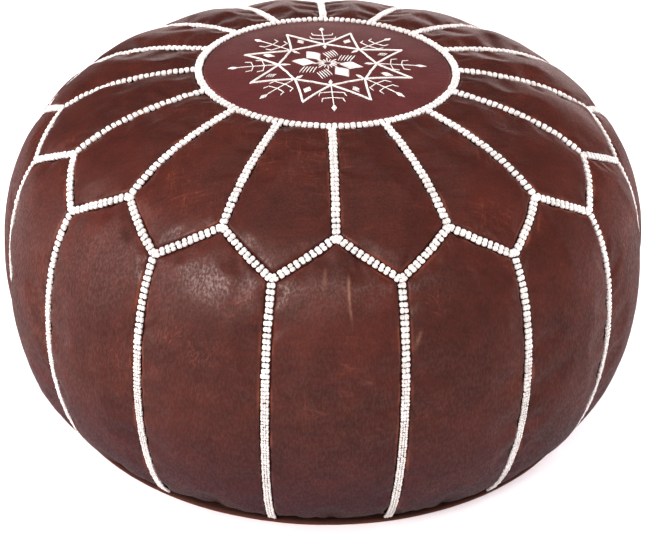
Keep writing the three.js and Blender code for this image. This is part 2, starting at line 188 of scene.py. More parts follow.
@dataclass
class MeshBuilder:
    """Collects points and faces, then makes one object of them."""

    points: list[np.ndarray] = field(default_factory=list)
    faces: list[list[int]] = field(default_factory=list)
    count: int = 0

    def add(self, points: np.ndarray, faces: np.ndarray | list[list[int]]) -> None:
        """Adds a part with its own face indices."""
        listed = faces.tolist() if isinstance(faces, np.ndarray) else faces
        offset = self.count
        self.points.append(np.asarray(points, float).reshape(-1, 3))
        self.faces.extend([[k + offset for k in face] for face in listed])
        self.count += len(self.points[-1])

    def add_copies(self, shape: np.ndarray, faces: list[list[int]], frames: np.ndarray) -> None:
        """Adds one shape at many places.

        Args:
            shape: Points of the shape, (n, 3).
            faces: Its faces.
            frames: Affine frames, (m, 3, 4): three scaled axes and an origin, as columns.
        """
        placed = np.einsum("mij,nj->mni", frames[:, :, :3], shape) + frames[:, None, :, 3]
        for copy in placed:
            self.add(copy, faces)

    def build(self, name: str, smooth: bool = True) -> bpy.types.Object:
        """Makes the object.

        Args:
            name: Name of the object and its mesh.
            smooth: Whether the faces are shaded smooth.

        Returns:
            The object, linked to the scene.
        """
        mesh = bpy.data.meshes.new(name)
        mesh.from_pydata(np.concatenate(self.points).tolist(), [], self.faces)
        mesh.polygons.foreach_set("use_smooth", [smooth] * len(mesh.polygons))
        mesh.update()
        piece = bpy.data.objects.new(name, mesh)
        bpy.context.scene.collection.objects.link(piece)
        return piece


def leather_values(
    piece: bpy.types.Object, seam: np.ndarray, hide: float, crack_and_groove_shade: np.ndarray | float = 0.0
) -> None:
    """Stores what leather finishes read.

    Args:
        piece: A leather piece with its outer points first and as many inner ones after.
        seam: Distance of the outer points to the nearest seam, in mm.
        hide: Number of the hide it was cut from.
        crack_and_groove_shade: How pale the creases are at the outer points.
    """
    set_values(piece, "seam_mm", np.tile(np.ravel(seam), 2))
    set_values(piece, "hide", np.full(2 * np.size(seam), hide))
    set_values(piece, "crack_and_groove_shade", np.tile(np.ravel(np.broadcast_to(crack_and_groove_shade, np.shape(seam))), 2))


def set_values(piece: bpy.types.Object, name: str, values: np.ndarray) -> None:
    """Stores one number per point for the materials to read."""
    attribute = piece.data.attributes.new(name, "FLOAT", "POINT")
    attribute.data.foreach_set("value", np.asarray(values, np.float32).ravel())


def grid_faces(rows: int, columns: int, flip: bool = False) -> np.ndarray:
    """Quads of an open grid of points numbered row by row.

    Args:
        rows: Rows of points.
        columns: Points in each row.
        flip: Whether the faces look the other way.

    Returns:
        The quads, as rows of point numbers.
    """
    index = np.arange(rows * columns).reshape(rows, columns)
    quads = np.stack([index[:-1, :-1], index[1:, :-1], index[1:, 1:], index[:-1, 1:]], axis=-1).reshape(-1, 4)
    return quads[:, ::-1] if flip else quads


def sheet_faces(rows: int, columns: int) -> list[list[int]]:
    """Faces of a closed sheet: a front grid, a back grid after it, and the strip round the edge.

    Args:
        rows: Rows of points in each grid.
        columns: Points in each row.

    Returns:
        The faces.
    """
    size = rows * columns
    front = grid_faces(rows, columns).tolist()
    back = (grid_faces(rows, columns, flip=True) + size).tolist()
    index = np.arange(size).reshape(rows, columns)
    loop = np.concatenate([index[0, :-1], index[:-1, -1], index[-1, :0:-1], index[:0:-1, 0]])
    following = np.roll(loop, -1)
    rim = [[a, b, b + size, a + size] for a, b in zip(loop.tolist(), following.tolist())]
    return front + back + rim


def ring_faces(rings: int, sides: int, flip: bool = False) -> np.ndarray:
    """Quads of a grid of points that closes on itself both ways.

    Args:
        rings: Number of rings of points.
        sides: Points in each ring.
        flip: Whether the faces look the other way.

    Returns:
        The quads, as rows of point numbers.
    """
    index = np.arange(rings * sides).reshape(rings, sides)
    up, on = np.roll(index, -1, axis=0), np.roll(index, -1, axis=1)
    quads = np.stack([index, on, np.roll(up, -1, axis=1), up], axis=-1).reshape(-1, 4)
    return quads[:, [0, 3, 2, 1]] if flip else quads


def tube_faces(rings: int, sides: int, flip: bool = False) -> list[list[int]]:
    """Faces of a closed tube, ring after ring, with a cap at each end.

    Args:
        rings: Number of rings of points.
        sides: Points in each ring.
        flip: Whether the faces look the other way.

    Returns:
        The faces.
    """
    faces = [list(range(sides))[::-1]]
    for level in range(rings - 1):
        faces += band_faces(level * sides, sides)
    faces.append([(rings - 1) * sides + k for k in range(sides)])
    return [face[::-1] for face in faces] if flip else faces


def band_faces(first: int, sides: int) -> list[list[int]]:
    """Quads between the ring of points that starts at first and the next ring.

    Args:
        first: Number of the first point.
        sides: Points in each ring.

    Returns:
        The quads.
    """
    following = first + sides
    turns = [(k, (k + 1) % sides) for k in range(sides)]
    return [[first + a, first + b, following + b, following + a] for a, b in turns]


def squarish(wave: np.ndarray, power: float) -> np.ndarray:
    """A sine or cosine pushed towards a square wave by a power below one."""
    return np.sign(wave) * np.abs(wave) ** power


def rounded_outline(half_long: float, half_wide: float, count: int = 40, square: float = 0.5) -> np.ndarray:
    """Points of a rounded rectangle round the origin, anticlockwise from above.

    Args:
        half_long: Half its length, along X.
        half_wide: Half its width.
        count: Number of points.
        square: Power of its sines and cosines; 1 is an oval and less is squarer.

    Returns:
        The points, shape (count, 2).
    """
    turn = np.linspace(0, 2 * math.pi, count, endpoint=False)
    x, y = squarish(np.cos(turn), square), squarish(np.sin(turn), square)
    return np.stack([half_long * x, half_wide * y], axis=-1)


def pillow_shape(
    segments: int = 10, rings: int = 5, square: float = 0.72
) -> tuple[np.ndarray, list[list[int]]]:
    """A plump closed pillow of half size one, rounder or squarer by its power.

    Args:
        segments: Sides round it.
        rings: Rings between its poles.
        square: Power of its sines and cosines; 1 is a ball and less is squarer.

    Returns:
        Its points and faces.
    """

    tilt = np.linspace(-math.pi / 2, math.pi / 2, rings + 2)[1:-1]
    ring = rounded_outline(1, 1, segments, square)
    points = [[0, 0, -1]]
    for angle in tilt:
        flat = squarish(np.cos(angle), square)
        points += [[x * flat, y * flat, squarish(np.sin(angle), square)] for x, y in ring]
    points.append([0, 0, 1])
    faces = [[0, 1 + (k + 1) % segments, 1 + k] for k in range(segments)]
    for level in range(rings - 1):
        faces += band_faces(1 + level * segments, segments)
    last, top = 1 + (rings - 1) * segments, len(points) - 1
    faces += [[last + k, last + (k + 1) % segments, top] for k in range(segments)]
    return np.array(points, float), faces


def strand_shape(sides: int = 6) -> tuple[np.ndarray, list[list[int]]]:
    """One laid thread of length one along X, half width one, arched and tapered at its ends.

    Args:
        sides: Points round the thread.

    Returns:
        Its points and faces.
    """
    half = [(-0.5, 0.25, -0.5), (-0.36, 0.85, 0.0)]
    stations = [*half, (0.0, 1.0, 0.35), *[(-x, radius, lift) for x, radius, lift in half[::-1]]]
    points = []
    for x, radius, lift in stations:
        for k in range(sides):
            angle = 2 * math.pi * k / sides
            points.append([x, radius * math.cos(angle), radius * math.sin(angle) + lift])
    return np.array(points, float), tube_faces(len(stations), sides)


# ---------------------------------------------------------------- shader nets


class Net:
    """Short calls for wiring one node tree."""

    def __init__(self, tree: bpy.types.NodeTree) -> None:
        """Wires nodes in tree."""
        self.tree = tree

    def add(self, kind: str, **values: object) -> bpy.types.Node:
        """A new node with its properties set."""
        node = self.tree.nodes.new(kind)
        for name, value in values.items():
            setattr(node, name, value)
        return node

    def feed(self, socket: bpy.types.NodeSocket, value: object) -> None:
        """Links value to socket, or sets it where it is a plain number or colour."""
        if isinstance(value, bpy.types.NodeSocket):
            self.tree.links.new(value, socket)
        else:
            socket.default_value = value

    def math(self, operation: str, a: object, b: object = 0.0, clamp: bool = False) -> bpy.types.NodeSocket:
        """The result of one sum.

        Args:
            operation: Blender's name for the sum.
            a: First number or socket.
            b: Second number or socket.
            clamp: Whether the result is held between 0 and 1.

        Returns:
            The socket with the result.
        """
        node = self.add("ShaderNodeMath", operation=operation, use_clamp=clamp)
        self.feed(node.inputs[0], a)
        self.feed(node.inputs[1], b)
        return node.outputs[0]

    def plus(self, total: object, value: object, share: float) -> bpy.types.NodeSocket:
        """Total with a share of value added to it."""
        return self.math("ADD", total, self.math("MULTIPLY", value, share))

    def ramp(
        self, value: object, low: object, high: object, start: float = 0.0, end: float = 1.0
    ) -> bpy.types.NodeSocket:
        """Value from low to high, eased to start to end.

        Args:
            value: What is looked up.
            low: Where the ramp begins.
            high: Where it ends.
            start: Result at low.
            end: Result at high.

        Returns:
            The socket with the result.
        """
        node = self.add("ShaderNodeMapRange", interpolation_type="SMOOTHSTEP")
        for socket, given in zip(node.inputs[:5], (value, low, high, start, end)):
            self.feed(socket, given)
        return node.outputs[0]

    def blend(self, share: object, a: object, b: object) -> bpy.types.NodeSocket:
        """Colour a turned into b by share.

        Args:
            share: 0 for a, 1 for b.
            a: First colour.
            b: Second colour.

        Returns:
            The socket with the colour.
        """
        node = self.add("ShaderNodeMix", data_type="RGBA")
        self.feed(node.inputs["Factor"], share)
        self.feed(node.inputs[6], a)
        self.feed(node.inputs[7], b)
        return node.outputs[2]

    def noise(
        self, vector: object, scale: object, detail: float = 3.0, w: object = None
    ) -> bpy.types.NodeSocket:
        """Cloudy noise from 0 to 1.

        Args:
            vector: Where it is looked up.
            scale: Clouds to the metre.
            detail: Number of finer layers.
            w: Picks another pattern.

        Returns:
            The socket with the noise.
        """
        node = self.add("ShaderNodeTexNoise", noise_dimensions="4D" if w is not None else "3D")
        self.feed(node.inputs["Vector"], vector)
        self.feed(node.inputs["Scale"], scale)
        node.inputs["Detail"].default_value = detail
        if w is not None:
            self.feed(node.inputs["W"], w)
        return node.outputs[0]

    def stretch(
        self, vector: object, scale: tuple[float, float, float], turn: float = 0.0
    ) -> bpy.types.NodeSocket:
        """Coordinates turned, then scaled by axis.

        Args:
            vector: The coordinates.
            scale: Scale along each axis.
            turn: Turn about Z, in radians.

        Returns:
            The socket with the new coordinates.
        """
        node = self.add("ShaderNodeMapping")
        self.feed(node.inputs["Vector"], vector)
        node.inputs["Rotation"].default_value = (0.3, 0.2, turn)
        node.inputs["Scale"].default_value = scale
        return node.outputs[0]

    def place(self) -> bpy.types.NodeSocket:
        """The point's place on the pouf."""
        return self.add("ShaderNodeTexCoord").outputs["Object"]

    def stored(self, name: str) -> bpy.types.NodeSocket:
        """A number stored on the mesh."""
        return self.add("ShaderNodeAttribute", attribute_name=name).outputs["Fac"]

    def emboss(self, shader: bpy.types.Node, height: object, strength: float, depth: float) -> None:
        """Presses a height into a shader's surface.

        Args:
            shader: The shader.
            height: The height, about 0 to 1.
            strength: How strongly it shows.
            depth: Depth of height 1, in mm.
        """
        bump = self.add("ShaderNodeBump")
        bump.inputs["Strength"].default_value = strength
        bump.inputs["Distance"].default_value = depth * MM
        self.feed(bump.inputs["Height"], height)
        self.feed(shader.inputs["Normal"], bump.outputs[0])

    def use(self, group: bpy.types.NodeTree, **values: object) -> bpy.types.Node:
        """Places a node group.

        Args:
            group: The group.
            **values: Its inputs by name, with underscores for spaces.

        Returns:
            The group's node.
        """
        node = self.add("ShaderNodeGroup", node_tree=group)
        for name, value in values.items():
            self.feed(node.inputs[name.replace("_", " ")], value)
        return node


class Kind(Enum):
    """Kinds of group socket."""

    NUMBER = "NodeSocketFloat"
    COLOUR = "NodeSocketColor"
    VECTOR = "NodeSocketVector"


PLACED = {"Place": Kind.VECTOR, "Pattern": Kind.NUMBER}


def start_group(
    name: str, inputs: dict[str, Kind], outputs: dict[str, Kind]
) -> tuple[bpy.types.NodeTree, Net, bpy.types.Node, bpy.types.Node]:
    """Begins a shader node group.

    Args:
        name: The group's name.
        inputs: Its inputs by name.
        outputs: Its outputs by name.

    Returns:
        The group, a net to wire it with, and its input and output nodes.
    """
    group = bpy.data.node_groups.new(name, "ShaderNodeTree")
    for socket, kind in inputs.items():
        group.interface.new_socket(socket, in_out="INPUT", socket_type=kind.value)
    for socket, kind in outputs.items():
        group.interface.new_socket(socket, in_out="OUTPUT", socket_type=kind.value)
    net = Net(group)
    return group, net, net.add("NodeGroupInput"), net.add("NodeGroupOutput")


class Effects:
    """The effects that finishes share, each a node group built once."""

    def __init__(self) -> None:
        """Builds the groups."""
        self.clouds = self._clouds()
        self.grain = self._grain()
        self.scuffs = self._scuffs()
        self.wear_and_groove_shade = self._wear_and_groove_shade()
        self.weave = self._weave()

    def dyed(
        self, net: Net, dark: str, light: str, pattern: object, speckle: float, place: object
    ) -> bpy.types.Node:
        """Places uneven dye between two screen colours.

        Args:
            net: The material's net.
            dark: Its darkest colour.
            light: Its lightest colour.
            pattern: Picks another pattern.
            speckle: Strength of the fine speckle.
            place: Where it is looked up.

        Returns:
            The node of the dye.
        """
        return net.use(
            self.clouds, Place=place, Pattern=pattern, Dark=colour(dark), Light=colour(light), Speckle=speckle
        )

    @staticmethod
    def _clouds() -> bpy.types.NodeTree:
        """Uneven dye: broad clouds, smaller ones in them and a fine speckle."""
        group, net, given, out = start_group(
            "uneven_dye",
            {**PLACED, "Dark": Kind.COLOUR, "Light": Kind.COLOUR, "Speckle": Kind.NUMBER},
            {"Color": Kind.COLOUR, "Clouds": Kind.NUMBER},
        )
        place, pattern = given.outputs["Place"], given.outputs["Pattern"]
        broad = net.ramp(net.noise(place, 9.0, 2.0, pattern), 0.2, 0.8)
        small = net.ramp(net.noise(place, 48.0, 6.0, pattern), 0.25, 0.75)
        drawn = net.stretch(place, (60.0, 420.0, 240.0), 0.9)
        streaks = net.ramp(net.noise(drawn, 1.0, 3.0, pattern), 0.3, 0.7)
        fine = net.noise(place, 640.0, 3.0, pattern)
        mixed = net.plus(net.math("MULTIPLY", broad, 0.35), small, 0.4)
        mixed = net.plus(mixed, streaks, 0.25)
        speckle = net.math("MULTIPLY", net.math("SUBTRACT", fine, 0.5), given.outputs["Speckle"])
        share = net.math("ADD", mixed, speckle, clamp=True)
        net.feed(out.inputs["Color"], net.blend(share, given.outputs["Dark"], given.outputs["Light"]))
        net.feed(out.inputs["Clouds"], mixed)
        return group

    @staticmethod
    def _grain() -> bpy.types.NodeTree:
        """Leather grain: small cells with pores between, over soft unevenness."""
        group, net, given, out = start_group(
            "leather_grain", {**PLACED, "Fineness": Kind.NUMBER}, {"Height": Kind.NUMBER}
        )
        place = given.outputs["Place"]
        cells = net.add("ShaderNodeTexVoronoi", feature="SMOOTH_F1")
        bent = net.add("ShaderNodeVectorMath", operation="ADD")
        wobble = net.add("ShaderNodeTexNoise")
        net.feed(wobble.inputs["Vector"], place)
        wobble.inputs["Scale"].default_value = 300.0
        small = net.add("ShaderNodeVectorMath", operation="SCALE")
        net.feed(small.inputs[0], wobble.outputs["Color"])
        small.inputs["Scale"].default_value = 0.0015
        net.feed(bent.inputs[0], place)
        net.feed(bent.inputs[1], small.outputs[0])
        net.feed(cells.inputs["Vector"], bent.outputs[0])
        net.feed(cells.inputs["Scale"], given.outputs["Fineness"])
        soft = net.noise(place, 130.0, 3.0, given.outputs["Pattern"])
        pores = net.math("MULTIPLY", cells.outputs["Distance"], -0.5)
        net.feed(out.inputs["Height"], net.plus(pores, soft, 0.9))
        return group

    @staticmethod
    def _scuffs() -> bpy.types.NodeTree:
        """Thin pale scratches in two directions, in patches."""
        group, net, given, out = start_group(
            "scuffs", {**PLACED, "Amount": Kind.NUMBER}, {"Mask": Kind.NUMBER}
        )
        place, pattern = given.outputs["Place"], given.outputs["Pattern"]
        lines = []
        for turn, scale in ((0.5, (14.0, 300.0, 40.0)), (2.1, (240.0, 16.0, 60.0))):
            streak = net.noise(net.stretch(place, scale, turn), 1.0, 2.0, pattern)
            lines.append(net.ramp(net.math("ABSOLUTE", net.math("SUBTRACT", streak, 0.5)), 0.014, 0.0))
        patches = net.ramp(net.noise(place, 24.0, 2.0, pattern), 0.5, 0.68)
        patched = net.math("MULTIPLY", net.math("MAXIMUM", lines[0], lines[1]), patches)
        net.feed(out.inputs["Mask"], net.math("MULTIPLY", patched, given.outputs["Amount"]))
        return group

    @staticmethod
    def _wear_and_groove_shade() -> bpy.types.NodeTree:
        """Rubbed edge, strongest at a set distance from the seam and broken up by noise, and painted shade in
        the groove nearer the seam.
        """
        group, net, given, out = start_group(
            "edge_wear_and_groove_shade",
            {"Place": Kind.VECTOR, "Distance": Kind.NUMBER, "Width": Kind.NUMBER},
            {"Mask": Kind.NUMBER, "GrooveShade": Kind.NUMBER},
        )
        distance, width = given.outputs["Distance"], given.outputs["Width"]
        rise = net.ramp(distance, 3.2, 3.9)
        fall = net.ramp(distance, 3.9, net.math("ADD", width, 3.9), 1.0, 0.0)
        broken = net.ramp(net.noise(given.outputs["Place"], 38.0, 4.0), 0.42, 0.66)
        net.feed(out.inputs["Mask"], net.math("MULTIPLY", net.math("MULTIPLY", rise, fall), broken))
        # painted shade in the groove nearest the seam
        net.feed(out.inputs["GrooveShade"], net.ramp(distance, 1.0, 4.0, 1.0, 0.0))
        return group

    @staticmethod
    def _weave() -> bpy.types.NodeTree:
        """Over-and-under threads of a plain cloth."""
        group, net, given, out = start_group(
            "plain_weave",
            {"Place": Kind.VECTOR, "Threads": Kind.NUMBER},
            {"Height": Kind.NUMBER, "Shade": Kind.NUMBER},
        )
        parts = net.add("ShaderNodeSeparateXYZ")
        net.feed(parts.inputs[0], given.outputs["Place"])
        threads = given.outputs["Threads"]
        waves = [net.math("SINE", net.math("MULTIPLY", parts.outputs[axis], threads)) for axis in range(3)]
        height = net.math("MULTIPLY", net.math("ADD", waves[0], waves[2]), waves[1])
        net.feed(out.inputs["Height"], height)
        net.feed(out.inputs["Shade"], net.math("ADD", net.math("MULTIPLY", height, 0.2), 0.8))
        return group


Colour = tuple[float, float, float, float]


def colour(code: str) -> Colour:
    """A shader colour from a six-digit screen colour."""
    parts = [int(code[k : k + 2], 16) / 255 for k in (0, 2, 4)]
    linear = [p / 12.92 if p <= 0.04045 else ((p + 0.055) / 1.055) ** 2.4 for p in parts]
    return (*linear, 1.0)


def start_material(name: str) -> tuple[bpy.types.Material, Net, bpy.types.Node]:
    """A new material with its net and its Principled shader."""
    material = bpy.data.materials.new(name)
    material.use_nodes = True
    net = Net(material.node_tree)
    shader = next(n for n in material.node_tree.nodes if n.type == "BSDF_PRINCIPLED")
    return material, net, shader


@dataclass(frozen=True)
class Leather:
    """Waxed goatskin, dyed unevenly and rubbed pale beside its seams, with painted shade in its seam grooves
    and a painted floor reflection low down.
    """

    name: str
    dark: str
    light: str
    rubbed: str
    low: str  # painted floor reflection and shade: a purplish, darker colour towards the floor
    floor_reflection_share: float = 0.6
    rub_width: float = 3.2  # in mm
    cracked: str = "a8806c"
    rough: float = 0.44
    coat: float = 0.4
    shine: float = 0.2
    grain: float = 620.0
    relief: float = 0.3
    # painted shade in the groove beside each seam and on the welt's top
    crack_and_groove_shade: str = "1d100e"
    coat_rough: float = 0.31
    coat_tint: Colour = (1.0, 0.86, 0.82, 1)
    floor_reflection_band: tuple[float, float] = (0.004, 0.13)  # heights over which the painted floor reflection fades

    def material(self, effects: Effects) -> bpy.types.Material:
        """Builds the material."""
        made, net, shader = start_material(self.name)
        place, pattern, seam = net.place(), net.stored("hide"), net.stored("seam_mm")
        dye = effects.dyed(net, self.dark, self.light, pattern, 1.1, place)
        parts = net.add("ShaderNodeSeparateXYZ")
        net.feed(parts.inputs[0], place)
        # painted floor reflection and shade: the colour turns purplish and darker near the floor
        low = net.ramp(parts.outputs[2], *self.floor_reflection_band, self.floor_reflection_share, 0.0)
        base = net.blend(low, dye.outputs["Color"], colour(self.low))
        wear_and_groove_shade = net.use(effects.wear_and_groove_shade, Place=place, Distance=seam, Width=self.rub_width)
        scuffs = net.use(effects.scuffs, Place=place, Pattern=pattern, Amount=0.5)
        base = net.blend(net.math("MULTIPLY", wear_and_groove_shade.outputs["Mask"], 0.6), base, colour(self.rubbed))
        base = net.blend(net.math("MULTIPLY", scuffs.outputs["Mask"], 0.6), base, colour(self.rubbed))
        broken = net.ramp(net.noise(place, 160.0, 3.0), 0.3, 0.6, 0.35, 0.9)
        pale = net.math("MULTIPLY", net.stored("crack_and_groove_shade"), broken)
        base = net.blend(pale, base, colour(self.cracked))
        # painted shade: darker within 4 mm of a seam, down in its groove
        base = net.blend(net.math("MULTIPLY", wear_and_groove_shade.outputs["GrooveShade"], 0.75), base, colour(self.crack_and_groove_shade))
        net.feed(shader.inputs["Base Color"], base)
        rough = net.plus(self.rough + 0.05, dye.outputs["Clouds"], -0.1)
        rough = net.plus(rough, scuffs.outputs["Mask"], 0.15)
        net.feed(shader.inputs["Roughness"], net.plus(rough, net.noise(place, 900.0, 2.0), 0.12))
        shader.inputs["Specular IOR Level"].default_value = self.shine
        polish = net.ramp(net.noise(net.stretch(place, (1.0, 1.0, 0.4)), 620.0, 5.0, pattern), 0.4, 0.66)
        net.feed(shader.inputs["Coat Weight"], net.math("MULTIPLY", polish, self.coat))
        shader.inputs["Coat Roughness"].default_value = self.coat_rough
        shader.inputs["Coat Tint"].default_value = self.coat_tint
        grain = net.use(effects.grain, Place=place, Pattern=pattern, Fineness=self.grain)
        height = net.plus(grain.outputs["Height"], scuffs.outputs["Mask"], -0.25)
        net.emboss(shader, height, self.relief, 0.8)
        return made


@dataclass(frozen=True)
class Thread:
    """Twisted cotton thread, with painted shade in the hollows of its twist."""

    name: str
    bright: str
    dull: str
    strands: float = 2600.0

    def material(self, effects: Effects) -> bpy.types.Material:
        """Builds the material."""
        made, net, shader = start_material(self.name)
        place = net.place()
        dye = effects.dyed(net, self.dull, self.bright, 2.0, 0.7, place)
        twist = net.use(effects.weave, Place=net.stretch(place, (1.0, 1.0, 1.0), 0.7), Threads=self.strands)
        # painted shade: darker, duller colour in the low parts of the twist
        shade = net.ramp(twist.outputs["Height"], -1.2, 0.6, 0.55, 1.0)
        net.feed(shader.inputs["Base Color"], net.blend(shade, colour(self.dull), dye.outputs["Color"]))
        net.feed(shader.inputs["Roughness"], net.plus(0.7, dye.outputs["Clouds"], 0.15))
        shader.inputs["Sheen Weight"].default_value = 0.25
        net.emboss(shader, twist.outputs["Height"], 0.6, 0.3)
        return made


@dataclass(frozen=True)
class Cloth:
    """Plain woven cloth."""

    name: str
    dark: str
    light: str
    threads: float = 4200.0

    def material(self, effects: Effects) -> bpy.types.Material:
        """Builds the material."""
        made, net, shader = start_material(self.name)
        place = net.place()
        dye = effects.dyed(net, self.dark, self.light, 5.0, 0.8, place)
        weave = net.use(effects.weave, Place=place, Threads=self.threads)
        shade = net.blend(weave.outputs["Shade"], colour(self.dark), dye.outputs["Color"])
        net.feed(shader.inputs["Base Color"], shade)
        net.feed(shader.inputs["Roughness"], net.plus(0.82, dye.outputs["Clouds"], 0.1))
        net.emboss(shader, weave.outputs["Height"], 0.4, 0.2)
        return made


@dataclass(frozen=True)
class Brass:
    """Zip brass, tarnished in patches and finely scratched."""

    name: str
    bright: str = "b8924c"
    tarnish: str = "6b5028"

    def material(self, effects: Effects) -> bpy.types.Material:
        """Builds the material."""
        made, net, shader = start_material(self.name)
        place = net.place()
        dye = effects.dyed(net, self.tarnish, self.bright, 8.0, 0.5, place)
        scuffs = net.use(effects.scuffs, Place=place, Pattern=3.0, Amount=1.0)
        net.feed(shader.inputs["Base Color"], dye.outputs["Color"])
        shader.inputs["Metallic"].default_value = 1.0
        rough = net.plus(0.42, dye.outputs["Clouds"], -0.18)
        net.feed(shader.inputs["Roughness"], net.plus(rough, scuffs.outputs["Mask"], 0.2))
        return made


# ---------------------------------------------------------------- the cover's shape


@dataclass
class SeamSurface:
    """The surface that all seams lie on: a profile turned about the pouf's axis."""

    radius: float = 0.268
    radius_height: float = 0.125
    crown: float = 0.294
    foot_radius: float = 0.233
    foot_height: float = 0.007
    ring_at: float = 0.106  # seam round the medallion
    shoulder_at: float = 0.225  # outer corners of the petals
    tip_at: float = 0.259  # points of the petals

    def __post_init__(self) -> None:
        """Measures the profile along its length."""
        wide, high, top = self.radius, self.radius_height, self.crown
        upper = [(0, top), (0.69 * wide, top + 0.002), (wide, 0.918 * top), (wide, high)]
        lower = [
            (wide, high),
            (wide, 0.65 * high),
            (wide - 0.013, 0.22 * high),
            (self.foot_radius, self.foot_height),
        ]
        t = np.linspace(0, 1, 400)[:, None]
        arcs = []
        for curve in (upper, lower):
            a, b, c, d = (np.array(p) for p in curve)
            arcs.append((1 - t) ** 3 * a + 3 * (1 - t) ** 2 * t * b + 3 * (1 - t) * t**2 * c + t**3 * d)
        self.line = np.concatenate([arcs[0], arcs[1][1:]])
        steps = np.linalg.norm(np.diff(self.line, axis=0), axis=1)
        self.distance = np.concatenate([[0], np.cumsum(steps)])
        self.length = float(self.distance[-1])

    def radius_at(self, along: np.ndarray) -> np.ndarray:
        """Distance from the axis at a distance along the leather."""
        return np.interp(along, self.distance, self.line[:, 0])

    def height_at(self, along: np.ndarray) -> np.ndarray:
        """Height above the floor at a distance along the leather."""
        return np.interp(along, self.distance, self.line[:, 1])

    def point(self, azimuth: np.ndarray, along: np.ndarray, lift: np.ndarray | float = 0.0) -> np.ndarray:
        """Points on the surface.

        Args:
            azimuth: Angles from the front, in radians.
            along: Distances along the leather from the crown.
            lift: How far they are moved outwards.

        Returns:
            The points, shape (..., 3).
        """
        azimuth, along = np.broadcast_arrays(azimuth, along)
        normal = self.normal(azimuth, along)
        r, z = self.radius_at(along), self.height_at(along)
        base = np.stack([r * np.sin(azimuth), -r * np.cos(azimuth), z], axis=-1)
        return base + normal * np.asarray(lift)[..., None]

    def normal(self, azimuth: np.ndarray, along: np.ndarray) -> np.ndarray:
        """Outward normals.

        Args:
            azimuth: Angles from the front, in radians.
            along: Distances along the leather from the crown.

        Returns:
            The normals, shape (..., 3).
        """
        azimuth, along = np.broadcast_arrays(azimuth, along)
        step = 0.001
        lower, upper = np.clip(along - step, 0, self.length), np.clip(along + step, 0, self.length)
        dr = self.radius_at(upper) - self.radius_at(lower)
        dz = self.height_at(upper) - self.height_at(lower)
        size = np.maximum(np.hypot(dr, dz), 1e-9)
        out, up = -dz / size, dr / size
        return np.stack([out * np.sin(azimuth), -out * np.cos(azimuth), up], axis=-1)

    def zigzag(self, share: np.ndarray) -> np.ndarray:
        """Distance along to the zigzag seam: 0 at a petal's point, 1 at its corners."""
        return self.tip_at + (self.shoulder_at - self.tip_at) * np.abs(share)


class Family(Enum):
    """The two families of long panels."""

    PETAL = "petal"
    SIDE = "side"


@dataclass(frozen=True)
class Fold:
    """A soft ridge or furrow in one panel."""

    family: Family
    panel: int
    across: float  # from the panel's middle, in mm
    down: float  # from the panel's top, in mm
    length: float
    width: float
    height: float
    lean: float = 0.0  # degrees, towards +azimuth as it goes down
    pale: float = 0.0  # how much the wax has cracked pale along it


FOLDS = (
    Fold(Family.SIDE, 0, -8, 12, 30, 1.9, 0.3, 2, 0.14),
    Fold(Family.SIDE, 0, 9.5, 16, 50, 1.4, 0.4, 1, 0.36),
    Fold(Family.SIDE, 0, 5, 16, 60, 9.0, 0.6, 2),
    Fold(Family.SIDE, 0, 30, 92, 18, 1.2, 0.15, -68, 0.36),
    Fold(Family.SIDE, 1, -36, 44, 20, 2.0, 0.35, -28, 0.25),
    Fold(Family.SIDE, 1, -34, 26, 44, 6.0, 0.7, -6),
    Fold(Family.SIDE, 1, 12, 16, 52, 5.0, 0.8, 4),
    Fold(Family.SIDE, 2, -6, 12, 60, 6.0, 1.0, 8),
    Fold(Family.SIDE, 3, 4, 18, 90, 6.0, 1.4, 22),
    Fold(Family.SIDE, 3, 16, 24, 100, 5.0, 1.2, 26),
    Fold(Family.SIDE, 15, 18, 12, 40, 6.0, 0.8, -5),
    Fold(Family.SIDE, 14, -8, 10, 36, 7.0, 0.7, 8),
    Fold(Family.PETAL, 12, 4, 70, 60, 8.0, 1.6, 38),
    Fold(Family.PETAL, 12, -10, 40, 70, 9.0, 1.4, -24),
    Fold(Family.PETAL, 11, 6, 56, 60, 8.0, 1.4, -30),
    Fold(Family.PETAL, 5, 2, 60, 50, 8.0, 1.0, 26),
)


